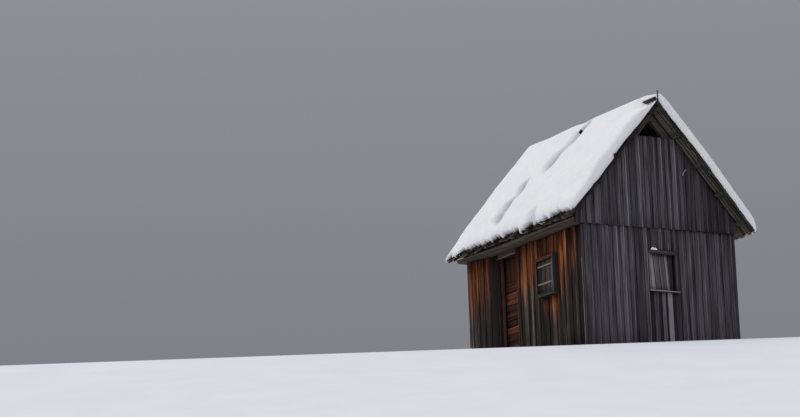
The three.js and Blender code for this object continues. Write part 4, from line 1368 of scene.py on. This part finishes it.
def snow_slope(y, side, bare, depth_share):
    """X and Z of a sheet over one slope, from the ridge to the eave, a row for each y.

    A point stands out from the shakes by the snow's depth."""
    count, edge, power = SNOW_SIDES[side]
    first = BARE_START * bare * (side < 0)
    end, soft_end = eave_line(y, side)
    share = 1 - (1 - np.linspace(0, 1, count)[None, :]) ** 1.6
    down = first + (end - first) * share
    to_end = np.maximum((end + soft_end + TONGUE_MEAN * (side < 0)) / 2 - down, 0)
    deep = snow_side(side, down, y) * edge_share(down, y)
    deep = deep * (EAVE_SHARE + (1 - EAVE_SHARE) * rounded(to_end, edge, power))
    if side < 0:
        deep = deep * (1 - bare * (1 - rounded(down - BARE_START, BARE_FULL - BARE_START, 1.7)))
    shelf = np.minimum(verge_rise(side, down), VERGE_SHELF_SHARE * deep)
    shelf = shelf * (1 - smooth(y - y.min(), *VERGE_SHELF))
    x, z = on_slope(down, SNOW_BASE + deep * depth_share + shelf * (1 - depth_share), side)
    over = np.maximum(np.abs(x) - SNOW_REACH, 0)
    return x - side * over, np.minimum(z, SNOW_TOP_LIMIT)


def snow_sheet(y, depth_share):
    """X and Z of one sheet of the blanket, a row for each y: left slope, over the ridge, right slope.

    Over the ridge the depth turns like the hand of a clock from the left slope's normal to the right one's.
    Where the front of the ridge is bare on the left, the hand stops a little past upright, and the sheet
    folds back round the tips of the right shakes and passes inside them to the left slope."""
    bare = 1 - smooth(y, *BARE_BLEND)
    left, right = (snow_slope(y, side, bare, depth_share) for side in (-1, 1))
    t = np.linspace(0, 1, SNOW_MIDDLE + 2)[None, 1:-1]
    capped = -CAP_LEAN + np.clip((t - FOLD) / (1 - FOLD), 0, 1) * (PITCH + CAP_LEAN)
    angle = (2 * t - 1) * PITCH * (1 - bare) + capped * bare
    deep = crest_depth(y) + (snow_side(1, 0 * y, y) - crest_depth(y)) * smooth(angle, 0, PITCH)
    radius = SNOW_BASE + deep * edge_share(0, y) * depth_share
    fan = (radius * np.sin(angle), np.minimum(RIDGE + radius * np.cos(angle), SNOW_TOP_LIMIT))
    stops = [[axis[:, :1] for axis in left]] + [on_slope(*stop) for stop in FOLD_STOPS]
    hidden = through(stops, np.clip(t / FOLD, 0, 1))
    folded = bare * (t < FOLD)
    sheet = []
    for axis in (0, 1):
        middle = fan[axis] + (hidden[axis] - fan[axis]) * folded
        sheet.append(np.concatenate([left[axis][:, ::-1], middle, right[axis]], axis=1))
    return sheet


def build_snow():
    """One blanket over both slopes: an upper sheet, a lower sheet on the shakes, and a rim between them.

    The rows of points lie closer together towards the verges, whose edges are frayed."""
    y_low, y_high = cad_box[0][1] + SNOW_INSET, cad_box[1][1] - SNOW_INSET
    turn = np.linspace(-1, 1, SNOW_ROWS)
    spacing = np.sign(turn) * (1 - (1 - np.abs(turn)) ** 1.2)
    y = ((y_low + y_high) / 2 + (y_high - y_low) / 2 * spacing)[:, None]
    sheets = []
    for depth_share in (1.0, 0.0):
        x, z = snow_sheet(y, depth_share)
        near_verge = np.exp(-np.minimum(y - y_low, y_high - y) / 0.08)
        fray = SNOW_FRAY * (1 + ripple(x, z, 0.35, 420)) * near_verge
        sheets.append(np.stack([x, y - np.sign(y) * fray, z], axis=-1))
    rows, columns = sheets[0].shape[:2]
    points = np.concatenate([s.reshape(-1, 3) for s in sheets])
    size = rows * columns
    upper = sheet_faces(rows, columns)[:, ::-1]
    lower = sheet_faces(rows, columns, size)
    index = np.arange(size).reshape(rows, columns)
    rim = np.concatenate([index[0, :], index[1:, -1], index[-1, -2::-1], index[-2:0:-1, 0]])
    ahead = np.roll(rim, -1)
    wall = np.stack([rim, rim + size, ahead + size, ahead], axis=-1)
    faces = np.concatenate([upper, lower, wall])
    if mesh_turns_in(points, upper):
        faces = faces[:, ::-1]
    smooth_faces = np.ones(len(faces), dtype=bool)
    smooth_faces[len(upper):len(upper) + len(lower)] = False
    made = sheet_object("roof_snow", points, faces, smooth_faces)
    from_ridge = np.linalg.norm(points[:, [0, 2]] - [0.0, RIDGE], axis=1)
    melt = melted(from_ridge, points[:, 1]) * (points[:, 0] < 0)
    made.data.attributes.new("melt", "FLOAT", "POINT").data.foreach_set("value", melt.astype(np.float32))
    finish_piece(made, SNOW, ["roof_snow_left", "roof_snow_right"], "hut")


def mesh_turns_in(points, faces):
    """True if the faces look down on average, for a sheet that should look up."""
    a, b, c = (points[faces[:, i]] for i in range(3))
    return np.cross(b - a, c - a)[:, 2].sum() < 0


# Stage, light and camera

CAMERA_AT = (-34.516, -50.636, -10.695)
CAMERA_YAW = -0.5312
CAMERA_PITCH = 0.2294
CAMERA_ROLL = -0.0359
LENS_MM = 135.0
FLOOR_FALL = 0.30
FLOOR_BEND = 0.40
FLOOR_MARGIN = 0.05
FLOOR_LENGTH = 75.0
FLOOR_WIDTH = 70.0
FLOOR_PATCH_MM = 1250.0
# The sky's colours from below the horizon up to overhead: the dull side, then the bright one.
SKY_HEIGHTS = (0.40, 0.56, 0.66, 0.85, 1.0)
DULL_SKY = ("#9a9b9e", "#77797e", "#8f9299", "#e2e3e8", "#f0f1f5")
BRIGHT_SKY = ("#e1e3eb", "#dfe1ea", "#dbdde5", "#e2e3e8", "#f0f1f5")
SUN_STRENGTH = 0.90
SUN_SIZE = math.radians(35)
SUN_TURN = (math.radians(41), 0.0, math.radians(-127))


def build_camera():
    """The photograph's view: from far below in front, with a long lens and a slight roll."""
    cos_pitch, sin_pitch = math.cos(CAMERA_PITCH), math.sin(CAMERA_PITCH)
    ahead = np.array([-math.sin(CAMERA_YAW) * cos_pitch, math.cos(CAMERA_YAW) * cos_pitch, sin_pitch])
    right = np.array([math.cos(CAMERA_YAW), math.sin(CAMERA_YAW), 0.0])
    up = np.cross(right, ahead)
    tilted = math.cos(CAMERA_ROLL) * right + math.sin(CAMERA_ROLL) * up
    tilted_up = math.cos(CAMERA_ROLL) * up - math.sin(CAMERA_ROLL) * right
    data = bpy.data.cameras.new("photo_view")
    data.lens = LENS_MM
    data.sensor_width = 36.0
    data.clip_end = 1000.0
    camera = bpy.data.objects.new("photo_view", data)
    bpy.context.scene.collection.objects.link(camera)
    turn = Matrix([tilted, tilted_up, -ahead]).transposed().to_4x4()
    camera.matrix_world = Matrix.Translation(CAMERA_AT) @ turn
    bpy.context.scene.camera = camera
    return ahead


def spread_out(low, high, count):
    """Places up to 1 from the middle, close together near it: the sinh of equal steps from low to high."""
    places = np.sinh(np.linspace(low, high, count))
    return places / np.abs(places).max()


def build_floor(ahead):
    """A level pale floor round the hut that falls away towards the low camera.

    At a distance d past the nearest corner it lies fall * d^2 / (d + bend) below the level part."""
    flat = ahead[:2] / math.hypot(*ahead[:2])
    side = np.array([flat[1], -flat[0]])
    near_corner = corners("boards_front")[0][:2]
    crest = -(near_corner @ flat) + FLOOR_MARGIN
    reach = FLOOR_LENGTH * spread_out(-3.6, 3.9, 150)
    lateral = FLOOR_WIDTH * spread_out(-3.4, 3.4, 60)
    towards, aside = np.meshgrid(reach + crest, lateral, indexing="ij")
    past = np.maximum(towards - crest, 0)
    x = -flat[0] * towards + side[0] * aside
    y = -flat[1] * towards + side[1] * aside
    z = -FLOOR_FALL * past**2 / (past + FLOOR_BEND)
    points = np.stack([x, y, z], axis=-1).reshape(-1, 3)
    faces = sheet_faces(*towards.shape)
    if mesh_turns_in(points, faces):
        faces = faces[:, ::-1]
    made = sheet_object("studio_floor", points, faces)
    material, tree, shader = blank("pale_studio_floor")
    soft = patches(tree, add(tree, "TexCoord", output="Object"), [FLOOR_PATCH_MM] * 3, 3.0)
    colour = add(tree, "ValToRGB", soft, stops=[(0.35, "#dcdde1"), (0.65, "#e0e1e4")])
    plug(tree, shader, {"Base Color": colour, "Roughness": 0.95})
    made.data.materials.append(material)


def build_light():
    """An overcast sky, bright overhead and grey at the horizon, with one soft sun from the upper left."""
    scene = bpy.context.scene
    world = bpy.data.worlds.new("overcast_sky")
    world.use_nodes = True
    scene.world = world
    tree = world.node_tree
    x, y, z = add(tree, "SeparateXYZ", add(tree, "TexCoord", output="Generated")).node.outputs
    height = add(tree, "Math", product(tree, z, 0.5), 0.5, operation="ADD")
    frontward = weighted(tree, (x, math.sin(CAMERA_YAW)), (y, -math.cos(CAMERA_YAW)))
    open_side = add(tree, "MapRange", frontward, -0.35, 0.45)
    dull, bright = (add(tree, "ValToRGB", height, stops=list(zip(SKY_HEIGHTS, colours)))
                    for colours in (DULL_SKY, BRIGHT_SKY))
    plug(tree, tree.nodes["Background"], {"Color": mixed(tree, dull, bright, open_side), "Strength": 1.0})
    sun = bpy.data.lights.new("soft_sun", "SUN")
    sun.energy = SUN_STRENGTH
    sun.angle = SUN_SIZE
    lamp = bpy.data.objects.new("soft_sun", sun)
    scene.collection.objects.link(lamp)
    lamp.rotation_euler = SUN_TURN
    scene.view_settings.view_transform = "Standard"


ahead_way = build_camera()
build_floor(ahead_way)
build_light()
build_beams()
finish_inner_timber()
build_front_wall()
build_back_wall()
build_side_walls()
build_front_window()
build_side_window()
build_door()
build_door_frame()
build_shakes()
build_snow()
